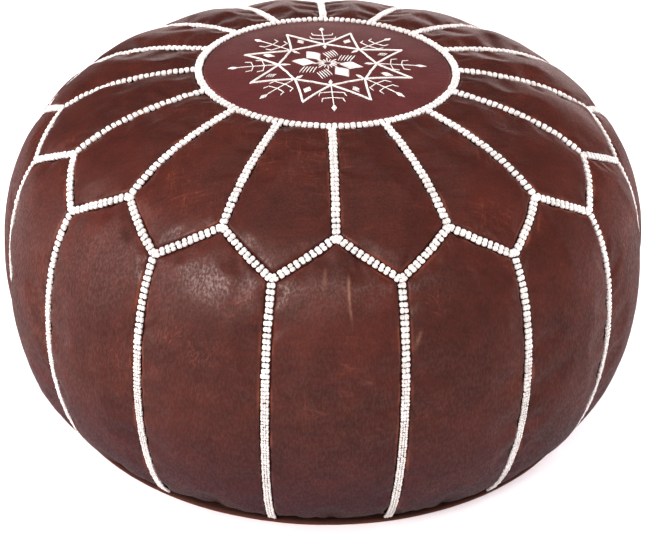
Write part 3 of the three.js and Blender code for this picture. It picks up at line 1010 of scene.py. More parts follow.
@dataclass
class CoverSkin:
    """The sixteen petals and sixteen side panels as one stretched skin, pinned along every seam."""

    surface: SeamSurface
    per_sector: int = 16
    petal_rows: int = 18
    side_rows: int = 40
    petal_bulge: float = 0.005
    side_bulge: float = 0.007
    growth: float = 0.016
    pressure: float = 4.0
    steps: int = 22
    cap_out: float = 0.011
    cap_in: float = 0.002

    def __post_init__(self) -> None:
        """Lays the skin out and lets it settle."""
        n = self.per_sector
        columns = np.arange(n * PANELS)
        azimuth = columns * SECTOR / n
        corner = np.abs(((columns % n) / n) * 2 - 1)  # 1 at a petal's corners, 0 at its point
        zigzag = self.surface.zigzag(corner)
        upper = np.linspace(0, 1, self.petal_rows + 1)[None, :]
        lower = np.linspace(0, 1, self.side_rows + 1)[None, 1:]
        ring, end = self.surface.ring_at, self.surface.length
        petal_part = ring + upper * (zigzag[:, None] - ring)
        side_part = zigzag[:, None] + lower * (end - zigzag[:, None])
        self.along = np.concatenate([petal_part, side_part], axis=1)
        self.azimuth = np.repeat(azimuth[:, None], self.along.shape[1], axis=1)
        across_petal, across_side = 1 - corner**2, 1 - (1 - corner) ** 2
        bulge_petal = self.petal_bulge * across_petal[:, None] * (1 - (2 * upper - 1) ** 2)
        bulge_side = self.side_bulge * across_side[:, None] * (1 - (2 * lower - 1) ** 2)
        self.lift = np.concatenate([bulge_petal, bulge_side], axis=1)
        seams = np.zeros(self.along.shape, bool)
        seams[:, [0, self.petal_rows, -1]] = True
        seams[columns % n == 0, : self.petal_rows + 1] = True
        seams[columns % n == n // 2, self.petal_rows :] = True
        self.seams = seams
        self.grid = self.surface.point(self.azimuth, self.along, self.lift)
        self.grid = self._settled()

    def _settled(self) -> np.ndarray:
        """The skin after the filling has pressed it out between its seams.

        Returns:
            The settled points, in the shape of the grid.
        """
        count, rows = self.along.shape
        index = np.arange(count * rows).reshape(count, rows)
        following = np.roll(index, -1, axis=0)
        quads = np.stack([index[:, :-1], index[:, 1:], following[:, 1:], following[:, :-1]], axis=-1)
        start = self.surface.point(self.azimuth, self.along, 0.35 * self.lift)
        normal = self.surface.normal(self.azimuth, self.along)
        start += (0.25 * MM * lattice_noise(start, 0.02, 7))[..., None] * normal
        builder = MeshBuilder()
        builder.add(start, quads.reshape(-1, 4)[:, ::-1])
        cover = builder.build("settling_cover")
        pins = cover.vertex_groups.new(name="pins")
        pins.add(index[self.seams].tolist(), 1.0, "REPLACE")
        cloth = cover.modifiers.new("cloth", "CLOTH")
        settings = cloth.settings
        settings.quality = 6
        settings.mass = 0.4
        settings.tension_stiffness = settings.compression_stiffness = 40
        settings.shear_stiffness = 20
        settings.bending_stiffness = 6
        settings.air_damping = 4
        settings.vertex_group_mass = "pins"
        settings.pin_stiffness = 50
        settings.shrink_min = -self.growth
        settings.use_pressure = True
        settings.uniform_pressure_force = self.pressure
        settings.effector_weights.gravity = 0
        cloth.collision_settings.use_collision = False
        cloth.point_cache.frame_start, cloth.point_cache.frame_end = 1, self.steps
        scene = bpy.context.scene
        scene.frame_start, scene.frame_end = 1, self.steps
        for step in range(1, self.steps + 1):
            scene.frame_set(step)
        evaluated = cover.evaluated_get(bpy.context.evaluated_depsgraph_get())
        flat = np.empty(count * rows * 3)
        evaluated.data.vertices.foreach_get("co", flat)
        settled = flat.reshape(count, rows, 3)
        bpy.data.objects.remove(cover)
        scene.frame_set(1)
        base = self.surface.point(self.azimuth, self.along)
        offset = settled - base
        out = np.sum(offset * normal, axis=-1)
        sideways = offset - out[..., None] * normal
        LOG.info("cover settled: bulge mean %.1f mm, most %.1f mm", out.mean() / MM, out.max() / MM)
        held = np.clip(out, -self.cap_in, self.cap_out)
        held[self.seams] = 0
        sideways[self.seams] = 0
        return base + held[..., None] * normal + sideways

    def panel(self, family: Family, index: int) -> np.ndarray:
        """The skin's points in one panel.

        Args:
            family: Petal or side panel.
            index: Its number, counted from the front.

        Returns:
            The points, in rows across and then down.
        """
        n = self.per_sector
        first = index * n if family is Family.PETAL else index * n - n // 2
        columns = np.arange(first, first + n + 1) % (n * PANELS)
        rows = slice(0, self.petal_rows + 1) if family is Family.PETAL else slice(self.petal_rows, None)
        return self.grid[columns, rows]


@dataclass(frozen=True)
class TurnedEdge:
    """How leather of one thickness turns down beside a seam. Sizes are in mm."""

    thickness: float = 1.6
    groove_depth: float = 1.9
    groove: tuple[float, float] = (2.9, 5.0)
    tuck_depth: float = 2.2
    tuck: tuple[float, float] = (0.4, 1.5)
    lines: tuple[float, ...] = (0.4, 0.9, 1.6, 2.4, 3.1, 3.8, 4.5, 5.4, 6.8, 8.6)

    def sink(self, stitched: np.ndarray) -> np.ndarray:
        """Depth below the face, by distance to the nearest seam."""
        groove = self.groove_depth * (1 - smoothstep(*self.groove, stitched))
        return groove + self.tuck_depth * (1 - smoothstep(*self.tuck, stitched))


@dataclass
class PanelMaker:
    """Cuts one panel out of the skin as leather with turned edges. Sizes are in mm."""

    skin: CoverSkin
    edge: TurnedEdge = TurnedEdge()
    slope: float = 0.8  # cosine of the zigzag's slant
    pucker: float = 0.42
    petal_lines: tuple[int, int] = (26, 46)  # lines across and down, between the edges
    side_lines: tuple[int, int] = (36, 92)
    creased_lines: int = 110  # lines across a panel with pale creases
    swell: float = 0.5
    ripple: float = 0.16
    curl: float = 2.4  # of the hem
    drop: float = 1.4
    uneven: float = 1.2

    def stations(self, lengths: np.ndarray, between: int) -> np.ndarray:
        """Lines across a panel, close together at its edges.

        Args:
            lengths: The panel's size in mm at each crossing line.
            between: Number of lines between the edge lines.

        Returns:
            Shares from 0 to 1, shape (lines, len(lengths)).
        """
        near = np.array(self.edge.lines)[:, None] / lengths[None, :]
        middle = np.linspace(0, 1, between + 2)[1:-1, None]
        inner = near[-1:] + middle * (1 - 2 * near[-1:])
        return np.concatenate([near, inner, 1 - near[::-1]])

    def relief(
        self, family: Family, index: int, across: np.ndarray, down: np.ndarray
    ) -> tuple[np.ndarray, np.ndarray]:
        """The panel's own folds.

        Args:
            family: Petal or side panel.
            index: Its number.
            across: Places in mm from its middle.
            down: Places in mm from its top.

        Returns:
            Their height in mm and how pale they are.
        """
        height, pale = np.zeros(across.shape), np.zeros(across.shape)
        for fold in FOLDS:
            if fold.family is not family or fold.panel != index:
                continue
            lean = math.radians(fold.lean)
            x, y = across - fold.across, down - fold.down
            lengthwise = x * math.sin(lean) + y * math.cos(lean)
            sideways = x * math.cos(lean) - y * math.sin(lean)
            sideways = sideways + 1.2 * np.sin(lengthwise / 11 + index)
            run = smoothstep(0, 0.3 * fold.length, lengthwise)
            run = run * smoothstep(fold.length, 0.55 * fold.length, lengthwise)
            ridge = run * np.exp(-((sideways / fold.width) ** 2))
            height += fold.height * ridge
            pale = np.maximum(pale, fold.pale * ridge**2)
        return height, pale

    def make(self, family: Family, index: int) -> bpy.types.Object:
        """Builds one panel.

        Args:
            family: Petal or side panel.
            index: Its number, counted from the front.

        Returns:
            The panel's object, with its distance to the seams stored on it.
        """
        surface = self.skin.surface
        petal = family is Family.PETAL
        fine_u, fine_v = self.petal_lines if petal else self.side_lines
        if any(fold.pale and fold.family is family and fold.panel == index for fold in FOLDS):
            fine_u = self.creased_lines
        grid = self.skin.panel(family, index)
        lines_v = fine_v + 2 * len(self.edge.lines)
        lines_u = fine_u + 2 * len(self.edge.lines)
        top_end = surface.ring_at if petal else surface.shoulder_at
        low_end = surface.tip_at if petal else surface.length
        level = np.linspace(0, 1, lines_v)
        widths = surface.radius_at(top_end + level * (low_end - top_end)) * SECTOR / MM
        side = np.linspace(-1, 1, lines_u)
        zigzag = surface.zigzag(side if petal else 1 - np.abs(side))
        lengths = ((zigzag - surface.ring_at) if petal else (surface.length - zigzag)) / MM
        u = self.stations(widths, fine_u)
        v = self.stations(lengths, fine_v).T
        points = resample(grid, u * (grid.shape[0] - 1), v * (grid.shape[1] - 1))
        du, dv = np.gradient(points, axis=0), np.gradient(points, axis=1)
        normal = unit(np.cross(dv, du))
        left, right = u * widths[None, :], (1 - u) * widths[None, :]
        above, below = v * lengths[:, None], (1 - v) * lengths[:, None]
        top_slant, low_slant = (1.0, self.slope) if petal else (self.slope, 1.0)
        stitched = np.minimum(np.minimum(left, right), above * top_slant)
        if petal:
            stitched = np.minimum(stitched, below * low_slant)
        rise = -self.edge.sink(stitched)
        beside = np.minimum(left, right)
        number = np.full(u.shape, float(index))
        down_edge = np.stack([above / 13, number * 3.7, np.where(left < right, 0.0, 9.0)], axis=-1)
        over_top = np.stack([left / 12, number * 5.3 + 40, np.where(above < below, 0.0, 9.0)], axis=-1)
        rise += self.pucker * lattice_noise(down_edge, 1.0, 11) * np.exp(-((beside - 9) ** 2) / 60)
        cross = np.minimum(above, below) if petal else above
        rise += 1.3 * self.pucker * lattice_noise(over_top, 1.0, 12) * np.exp(-((cross - 13) ** 2) / 130)
        rise += self.swell * lattice_noise(points, 0.034, 21) * smoothstep(4, 16, stitched)
        rise += self.ripple * lattice_noise(points, 0.011, 22) * smoothstep(4, 10, stitched)
        folds, pale = self.relief(family, index, left - widths[None, :] / 2, above)
        rise += folds * smoothstep(4, 9, stitched)
        outer = points + normal * (rise * MM)[..., None]
        if not petal:
            outer = self._hem(outer, normal, below, left, index)
        inner = outer - normal * (self.edge.thickness * MM)
        builder = MeshBuilder()
        builder.add(np.stack([outer, inner]), sheet_faces(*outer.shape[:2]))
        piece = builder.build(f"{family.value}_{index + 1:02d}")
        piece.data.flip_normals()
        leather_values(piece, stitched, 1.0 + 1.7 * index + (0.6 if petal else 0.0), pale)
        return piece

    def _hem(
        self, points: np.ndarray, normal: np.ndarray, below: np.ndarray, left: np.ndarray, index: int
    ) -> np.ndarray:
        """Turns a side panel's lower edge under, unevenly.

        Args:
            points: The panel's outer points.
            normal: Their outward normals.
            below: Their distance to the lower edge, in mm.
            left: Their distance to the left edge, in mm.
            index: The panel's number.

        Returns:
            The moved points.
        """
        wave = np.stack([left / 38, np.full(left.shape, index * 2.9), np.zeros(left.shape)], axis=-1)
        uneven = lattice_noise(wave, 1.0, 31)
        curl = self.curl * (1 - smoothstep(0.3, 5.0, below))
        drop = (self.uneven * uneven + self.drop) * (1 - smoothstep(2, 22, below))
        points = points - normal * (curl * MM)[..., None]
        points[..., 2] += drop * MM
        return points


# ---------------------------------------------------------------- stitching


@dataclass(frozen=True)
class Bead:
    """One wrapped stitch, made of lobes side by side. Sizes are in mm."""

    pitch: float
    lobes: tuple[float, ...]
    half_width: float
    half_length: float
    half_height: float
    lift: float


PLUMP = Bead(4.75, (-1.38, 1.38), 1.86, 2.16, 1.5, 0.55)
MIDDLING = Bead(3.5, (-2.0, 0.0, 2.0), 1.2, 1.62, 1.3, 0.5)
KNOT = Bead(2.6, (0.0,), 1.75, 1.7, 1.3, 0.5)
FINE = Bead(2.5, (-2.1, 0.0, 2.1), 1.02, 1.14, 1.1, 0.5)


@dataclass
class SeamLine:
    """A run of stitches along a route on the seam surface."""

    surface: SeamSurface
    azimuth: np.ndarray
    along: np.ndarray
    bead: Bead
    trim: tuple[float, float] = (0.0, 0.0)  # in mm, kept free at its ends

    def beads(self, seed: int) -> np.ndarray:
        """Sews the run.

        Args:
            seed: Seed of its small irregularities.

        Returns:
            Frames of every lobe in the run, shape (n, 3, 4).
        """
        dense = np.linspace(0, len(self.azimuth) - 1, 60 * len(self.azimuth))
        azimuth = np.interp(dense, np.arange(len(self.azimuth)), self.azimuth)
        along = np.interp(dense, np.arange(len(self.along)), self.along)
        line = self.surface.point(azimuth, along)
        distance = np.concatenate([[0], np.cumsum(np.linalg.norm(np.diff(line, axis=0), axis=1))]) / MM
        start, end = self.trim[0], distance[-1] - self.trim[1]
        count = max(1, round((end - start) / self.bead.pitch))
        at = start + (np.arange(count) + 0.5) * (end - start) / count
        stretch = (end - start) / count / self.bead.pitch
        rng = np.random.default_rng(seed)
        centre_azimuth, centre_along = np.interp(at, distance, azimuth), np.interp(at, distance, along)
        here = self.surface.point(centre_azimuth, centre_along)
        up = self.surface.normal(centre_azimuth, centre_along)
        before = np.stack([np.interp(at - 0.8, distance, line[:, k]) for k in range(3)], axis=-1)
        after = np.stack([np.interp(at + 0.8, distance, line[:, k]) for k in range(3)], axis=-1)
        forward = unit(after - before)
        across = unit(np.cross(forward, up))
        frames = []
        for lobe in self.bead.lobes:
            size = 1 + 0.07 * rng.standard_normal((3, count))
            skew = 0.09 * rng.standard_normal(count)[:, None]
            run = unit(forward + skew * across)
            beside = unit(np.cross(run, up))
            shift = (lobe + 0.12 * rng.standard_normal(count))[:, None]
            slide = 0.18 * rng.standard_normal(count)[:, None]
            lift = (self.bead.lift + 0.1 * rng.standard_normal(count))[:, None]
            centre = here + (across * shift + forward * slide + up * lift) * MM
            columns = [
                run * (self.bead.half_length * stretch * size[0])[:, None] * MM,
                beside * (self.bead.half_width * size[1])[:, None] * MM,
                up * (self.bead.half_height * size[2])[:, None] * MM,
                centre,
            ]
            frames.append(np.stack(columns, axis=-1))
        return np.concatenate(frames)


@dataclass
class Stitching:
    """All the white beaded seams of the cover."""

    surface: SeamSurface
    plump_until: float = 0.335  # where the side seams turn to smaller stitches
    fine_from: float = 0.372
    bead_shape: tuple[np.ndarray, list[list[int]]] = field(default_factory=lambda: pillow_shape(10, 5, 0.74))

    def _piece(self, name: str, lines: list[SeamLine], seed: int) -> bpy.types.Object:
        """One object for several runs.

        Args:
            name: The object's name.
            lines: The runs.
            seed: Seed of their small irregularities.

        Returns:
            The object.
        """
        builder = MeshBuilder()
        for number, line in enumerate(lines):
            builder.add_copies(*self.bead_shape, line.beads(seed * 100 + number))
        return builder.build(name)

    def _knot(self, azimuth: float, along: float) -> SeamLine:
        """One stitch over the place where three seams meet."""
        return SeamLine(self.surface, np.full(2, azimuth), along + np.array([-0.0013, 0.0013]), KNOT)

    def ring_and_spokes(self) -> bpy.types.Object:
        """The seam round the medallion and those between the petals."""
        s = self.surface
        around = np.linspace(0, 2 * math.pi, 97)
        lines = [SeamLine(s, around, np.full(len(around), s.ring_at), PLUMP)]
        down = np.linspace(s.ring_at, s.shoulder_at, 12)
        for k in range(PANELS):
            lines.append(SeamLine(s, np.full(len(down), k * SECTOR), down, PLUMP, trim=(2.2, 2.0)))
            lines.append(self._knot(k * SECTOR, s.shoulder_at - 0.0005))
        return self._piece("ring_beads", lines, 1)

    def side_run(self, run: int) -> bpy.types.Object:
        """The zigzag over two side panels and the side seams at their points.

        Args:
            run: Number of the length of stitching.

        Returns:
            Its object.
        """
        s = self.surface
        lines = []
        for k in (2 * run, 2 * run + 1):
            tip = (k + 0.5) * SECTOR
            share = np.linspace(1, 0, 9)
            for side in (-1, 1):
                slant = tip + side * share * SECTOR / 2
                lines.append(SeamLine(s, slant, s.zigzag(share), PLUMP, trim=(0.4, 0.4)))
            upper = np.linspace(s.tip_at, self.plump_until, 14)
            middle = np.linspace(self.plump_until, self.fine_from, 6)
            lower = np.linspace(self.fine_from, s.length - 0.001, 16)
            lines.append(SeamLine(s, np.full(len(upper), tip), upper, PLUMP, trim=(2.2, 0.0)))
            lines.append(self._knot(tip, s.tip_at + 0.0005))
            lines.append(SeamLine(s, np.full(len(middle), tip), middle, MIDDLING))
            lines.append(SeamLine(s, np.full(len(lower), tip), lower, FINE))
        return self._piece(f"side_beads_{run + 1}", lines, 2 + run)


# ---------------------------------------------------------------- medallion and embroidery


@dataclass
class Medallion:
    """The round panel on the crown."""

    surface: SeamSurface
    dome: float = 0.0035
    rings: int = 54
    spokes: int = 192
    turned: TurnedEdge = TurnedEdge()

    def height(self, x: np.ndarray, y: np.ndarray) -> np.ndarray:
        """Height of the leather at a place on the crown."""
        r = np.hypot(x, y)
        base = np.interp(r, self.surface.line[:, 0], self.surface.line[:, 1])
        share = np.clip(1 - (r / self.surface.ring_at) ** 2, 0, 1)
        spot = np.stack([x, y, np.zeros_like(x)], axis=-1)
        return base + self.dome * share + 0.35 * MM * lattice_noise(spot, 0.03, 41) * share

    def build(self) -> bpy.types.Object:
        """Builds the panel with its turned edge."""
        edge = self.surface.ring_at / MM
        near = np.array(self.turned.lines)
        r = np.concatenate([np.linspace(0, edge - near[-1], self.rings)[1:-1], edge - near[::-1]])
        turn = np.linspace(0, 2 * math.pi, self.spokes, endpoint=False)
        reach = self.surface.radius_at(r * MM)
        x, y = reach[:, None] * np.cos(turn), reach[:, None] * np.sin(turn)
        stitched = np.repeat((edge - r)[:, None], self.spokes, axis=1)
        z = self.height(x, y) - self.turned.sink(stitched) * MM
        outer = np.stack([x, y, z], axis=-1)
        centre = np.array([[0, 0, self.height(np.zeros(1), np.zeros(1))[0]]])
        top = np.concatenate([centre, outer.reshape(-1, 3)])
        low = top - np.array([0, 0, self.turned.thickness * MM])
        n, count = self.spokes, len(top)
        faces = [[0, 1 + k, 1 + (k + 1) % n] for k in range(n)]
        for level in range(len(r) - 1):
            a, b = 1 + level * n, 1 + (level + 1) * n
            faces += [[a + k, b + k, b + (k + 1) % n, a + (k + 1) % n] for k in range(n)]
        under = [[k + count for k in face[::-1]] for face in faces]
        last = count - n
        rim = [[last + k, last + k + count, last + (k + 1) % n + count, last + (k + 1) % n] for k in range(n)]
        builder = MeshBuilder()
        builder.add(np.concatenate([top, low]), faces + under + rim)
        piece = builder.build("medallion_top")
        distance = np.concatenate([[edge], stitched.ravel()])
        leather_values(piece, distance, 30.0)
        return piece


@dataclass
class Embroidery:
    """The white star on the medallion, laid thread by thread. Sizes are in mm."""

    medallion: Medallion
    star_points: float = 71.0
    star_crossings: float = 40.5
    rhombus_inner: float = 9.5
    rhombus_outer: float = 30.0
    rhombus_side: float = 20.5
    flower: float = 10.5
    arrow_end: float = 81.5
    thread: float = 0.42  # half width
    lift: float = 0.35
    forward: float = 3.0  # how far it was sewn off centre, towards the front
    twist: float = 2.0  # degrees that the whole pattern is turned off the front seam
    star_twist: float = 2.6  # further degrees that the star's tips lean
    star_rope: float = 0.98
    turn: float = 45.0  # degrees from one arrow to the next
    starts: list[np.ndarray] = field(default_factory=list)
    ends: list[np.ndarray] = field(default_factory=list)
    widths: list[float] = field(default_factory=list)

    def lay(self, a: np.ndarray, b: np.ndarray, width: float | None = None) -> None:
        """Lays one thread from a to b, two places in mm."""
        self.starts.append(np.asarray(a, float))
        self.ends.append(np.asarray(b, float))
        self.widths.append(width or self.thread)

    def rope(self, places: np.ndarray, width: float = 0.6, step: float = 0.85, slant: float = 0.8) -> None:
        """Stem stitch along a line: short slanted threads, one after another.

        Args:
            places: Points of the line.
            width: Width of the rope.
            step: Distance from one thread to the next.
            slant: How far each thread leans, as a share of the width.
        """
        legs = np.linalg.norm(np.diff(places, axis=0), axis=1)
        distance = np.concatenate([[0], np.cumsum(legs)])
        for at in np.arange(step / 2, distance[-1], step):
            here = np.array([np.interp(at, distance, places[:, k]) for k in (0, 1)])
            ahead = np.array([np.interp(at + 0.2, distance, places[:, k]) for k in (0, 1)])
            back = np.array([np.interp(at - 0.2, distance, places[:, k]) for k in (0, 1)])
            forward = unit(ahead - back)
            side = np.array([-forward[1], forward[0]])
            reach = forward * 1.25 + side * slant * width
            self.lay(here - reach, here + reach, 0.5 * width + 0.12)

    def satin(self, corners: list[np.ndarray], spacing: float, width: float | None = None) -> None:
        """Fills a four-cornered shape with threads laid parallel to its first edge.

        Args:
            corners: Its corners in order.
            spacing: Distance from one thread to the next.
            width: Half width of the threads.
        """
        a, b, c, d = (np.asarray(p, float) for p in corners)
        count = max(2, round(float(np.linalg.norm(d - a)) / spacing))
        for share in (np.arange(count) + 0.5) / count:
            self.lay(a + (d - a) * share, b + (c - b) * share, width)

    def polar(self, radius: float, degrees: float) -> np.ndarray:
        """A place at an angle from the pattern's front, growing towards +X."""
        angle = math.radians(degrees + self.twist)
        return np.array([radius * math.sin(angle), -radius * math.cos(angle)])

    def lozenge(
        self, centre: np.ndarray, degrees: float, half_long: float, half_wide: float, spacing: float
    ) -> None:
        """A small filled lozenge pointing outwards.

        Args:
            centre: Its middle.
            degrees: The way it points.
            half_long: Half its length.
            half_wide: Half its width.
            spacing: Distance from one thread to the next.
        """
        out, side = self.polar(half_long, degrees), self.polar(half_wide, degrees + 90)
        self.satin([centre - out, centre + side, centre + out, centre - side], spacing, 0.36)

    @staticmethod
    def curve(start: np.ndarray, bend: np.ndarray, end: np.ndarray) -> np.ndarray:
        """Nine places on a curve from start to end, drawn towards bend."""
        share = np.linspace(0, 1, 9)[:, None]
        return (1 - share) ** 2 * start + 2 * share * (1 - share) * bend + share**2 * end

    def arrow(self, degrees: float) -> None:
        """A feathered arrow outwards from a crossing."""
        out, side = self.polar(1.0, degrees), self.polar(1.0, degrees + 90)
        start, end = self.star_crossings + 1.5, self.arrow_end - 9
        self.rope(np.array([out * start, out * end]), 0.42)
        for level, reach in ((0.42, 12.0), (0.72, 10.0)):
            root = out * (start + level * (end - start))
            for hand in (-1, 1):
                elbow = root + side * hand * reach * 0.8 - out * 1.5
                tip = elbow + side * hand * reach * 0.1 + out * 4.2
                self.rope(np.array([root - out * 3.0, elbow, tip]), 0.38)
        self.lozenge(out * (self.arrow_end - 4.5), degrees, 5.2, 2.3, 0.62)

    def build(self) -> bpy.types.Object:
        """Lays the whole pattern and makes its object."""
        step, half = self.turn, self.turn / 2
        for k in range(round(360 / step)):
            turn = step * k
            near, far = self.polar(self.rhombus_inner, turn - 9), self.polar(self.rhombus_outer, turn - 13)
            left, right = self.polar(self.rhombus_side, turn - 32), self.polar(self.rhombus_side, turn + 10)
            solid = k in (1, 2, 5, 6)
            self.satin([near, right, far, left], 0.7 if solid else 2.6, 0.42 if solid else 0.5)
            self.lozenge(self.polar(35.0, turn), turn, 5.0, 1.7, 0.6)
            between = turn + half
            self.lozenge(self.polar(51.0, between), between, 5.6, 3.4, 0.62 if k % 2 else 1.7)
            self.arrow(turn)
            tip = self.polar(self.star_points, between + self.star_twist)
            for side in (-1, 1):
                crossing = self.polar(self.star_crossings, between + side * half)
                beyond = self.polar(self.star_crossings * 0.99, between + side * half)
                self.rope(self.curve(tip, (tip + crossing) / 2 * 0.965, beyond), self.star_rope)
                middle = self.polar(self.star_crossings * 0.93, between)
                inner = self.polar(self.star_crossings * 0.905, between)
                self.rope(self.curve(crossing, middle, inner), self.star_rope)
        for k in range(round(360 / half)):
            reach = self.flower * (0.8 if k % 2 else 1.1)
            self.lay(self.polar(2.6, half * k), self.polar(reach, half * k), 0.5)
        return self._object()

    def _object(self) -> bpy.types.Object:
        """Turns the laid threads into one object."""
        aside = np.array([0.0, -self.forward])
        a, b = (np.array(self.starts) + aside) * MM, (np.array(self.ends) + aside) * MM
        half = np.array(self.widths)[:, None] * MM
        low, high = (np.column_stack([end, self.medallion.height(end[:, 0], end[:, 1])]) for end in (a, b))
        up = np.tile([0.0, 0.0, 1.0], (len(a), 1))
        run = high - low
        side = unit(np.cross(up, run)) * half
        centre = (low + high) / 2 + up * self.lift * MM
        frames = np.stack([run, side, up * half, centre], axis=-1)
        builder = MeshBuilder()
        builder.add_copies(*strand_shape(), frames)
        return builder.build("embroidery")


# ---------------------------------------------------------------- base and zip


@dataclass
class Base:
    """The welt round the foot and the two halves of the base. Sizes are in mm."""

    welt_inner: float = 223.8
    welt_outer: float = 232.4
    welt_height: float = 4.6
    welt_face: float = 3.0  # height of its clean outer face; above that it is painted dark as the shadow of the gap under the panels
    radius: float = 223.2
    slot: float = 7.0
    closed_from: float = 176.0  # the slot narrows from here to closed_at
    closed_at: float = 190.0
    closed: float = 0.3  # half the gap left there
    trough: float = 9.0
    trough_width: float = 40.0
    trough_full: float = 190.0
    trough_end: float = 214.0
    thickness: float = 2.0
    stitch_rows: tuple[float, float] = (9.2, 12.4)  # from the middle of the zip
    stitched_to: float = 168.0
    stitch_step: float = 4.0

    def welt(self) -> bpy.types.Object:
        """The turned leather rim."""
        around, section = 480, 22
        azimuth = np.linspace(0, 2 * math.pi, around, endpoint=False)
        turn = np.linspace(0, 2 * math.pi, section, endpoint=False)
        ring = np.stack([np.sin(azimuth), -np.cos(azimuth), np.zeros(around)], axis=-1)
        edge = ring * round(self.welt_outer)
        wobble, fine = lattice_noise(edge, 24, 51), lattice_noise(edge, 6, 52)
        middle, half = (self.welt_inner + self.welt_outer) / 2, (self.welt_outer - self.welt_inner) / 2
        squash, rise = squarish(np.cos(turn), 0.8), squarish(np.sin(turn), 0.8)
        r = middle + half * squash[None, :] + (0.35 * wobble + 0.12 * fine)[:, None] * (squash[None, :] > 0)
        top = self.welt_height / 2 * (1 + rise)[None, :] * (1 + 0.07 * wobble + 0.03 * fine)[:, None]
        points = ring[:, None, :] * r[..., None]
        points[..., 2] = top
        builder = MeshBuilder()
        builder.add(points * MM, ring_faces(around, section, flip=True))
        piece = builder.build("welt")
        # painted shadow: above its clean face the welt gets seam distance 0, which the leather darkens most
        shadowed = np.broadcast_to(top, (around, section)) > self.welt_face
        set_values(piece, "seam_mm", np.where(shadowed, 0.0, 40.0))
        set_values(piece, "hide", np.full(around * section, 41.0))
        set_values(piece, "crack_and_groove_shade", np.zeros(around * section))
        return piece

    def lift(self, x: np.ndarray, y: np.ndarray) -> np.ndarray:
        """Height of the base's underside above the floor."""
        across = smoothstep(0, 1, (self.trough_width - np.abs(y)) / (self.trough_width - self.slot))
        along = smoothstep(0, 1, (self.trough_end - np.abs(x)) / (self.trough_end - self.trough_full))
        return self.trough * across * along

    def half(self, side: int) -> bpy.types.Object:
        """One half of the base, hemmed along the zip.

        Args:
            side: -1 for the front half, 1 for the back one.

        Returns:
            Its object.
        """
        columns, rows = 150, 46
        reach = math.sqrt(self.radius**2 - (self.slot + 1.5) ** 2)  # each end is cut square
        x = reach * np.sin(np.linspace(-math.pi / 2, math.pi / 2, columns))
        rim = np.sqrt(self.radius**2 - x**2)
        share = np.linspace(0, 1, rows) ** 1.4
        narrowing = smoothstep(self.closed_from, self.closed_at, np.abs(x))
        inner = (self.slot + (self.closed - self.slot) * narrowing)[:, None]
        y = inner + share[None, :] * (rim[:, None] - inner)
        xx = np.repeat(x[:, None], rows, axis=1)
        under = self.lift(xx, y)
        spot = np.stack([xx, y * side, np.zeros_like(y)], axis=-1)
        inside = smoothstep(0, 6, rim[:, None] - y)
        under = under + (0.25 + 0.25 * lattice_noise(spot, 22, 61)) * inside
        hem = smoothstep(15.0, 13.6, y)
        low = np.stack([xx, y * side, under - 0.7 * hem * (under > 1.5)], axis=-1)
        high = np.stack([xx, y * side, under + self.thickness], axis=-1)
        sheets = [high, low] if side > 0 else [low, high]
        builder = MeshBuilder()
        builder.add(np.stack(sheets) * MM, sheet_faces(columns, rows))
        piece = builder.build("base_back" if side > 0 else "base_front")
        leather_values(piece, np.full(columns * rows, 40.0), 43.0 + side)
        return piece

    def tab(self, end: int, node: str) -> bpy.types.Object:
        """The leather tab sewn over the slot past one end of the zip.

        Args:
            end: -1 for the left end, 1 for the right one.
            node: The solid that gives its size.

        Returns:
            Its object.
        """
        low, high = (np.array(corner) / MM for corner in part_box(node))
        columns, rows = 36, 30
        x, y = np.linspace(low[0], high[0], columns), np.linspace(low[1], high[1], rows)
        xx, yy = np.meshgrid(x, y, indexing="ij")
        edge = np.minimum(np.minimum(xx - low[0], high[0] - xx), np.minimum(yy - low[1], high[1] - yy))
        wave = 0.12 * lattice_noise(np.stack([xx, yy, np.zeros_like(xx)], axis=-1), 7, 62)
        round_off = 0.6 * smoothstep(1.6, 0, edge)
        top = np.stack([xx, yy, high[2] - 0.2 + wave - round_off], axis=-1)
        under = np.stack([xx, yy, low[2] + 0.2 + wave + round_off], axis=-1)
        builder = MeshBuilder()
        builder.add(np.stack([top, under]) * MM, sheet_faces(columns, rows))
        piece = builder.build("end_tab_right" if end > 0 else "end_tab_left")
        leather_values(piece, np.full(columns * rows, 40.0), 46.0 + end)
        return piece

    def hem_stitches(self, side: int) -> bpy.types.Object:
        """Two rows of running stitches that hold the zip's tape.

        Args:
            side: -1 for the front half, 1 for the back one.

        Returns:
            Their object.
        """
        builder = MeshBuilder()
        frames = []
        for row in self.stitch_rows:
            for x in np.arange(-self.stitched_to, self.stitched_to + 0.5, self.stitch_step):
                level = float(self.lift(np.array(x), np.array(row))) - 0.55
                centre = np.array([x, side * row, level])
                axes = np.array([[3.0, 0, 0], [0, 0.4, 0], [0, 0, -0.35]])
                frames.append(np.concatenate([axes.T, centre[:, None]], axis=1) * MM)
        builder.add_copies(*strand_shape(), np.array(frames))
        return builder.build("hem_stitches_back" if side > 0 else "hem_stitches_front")


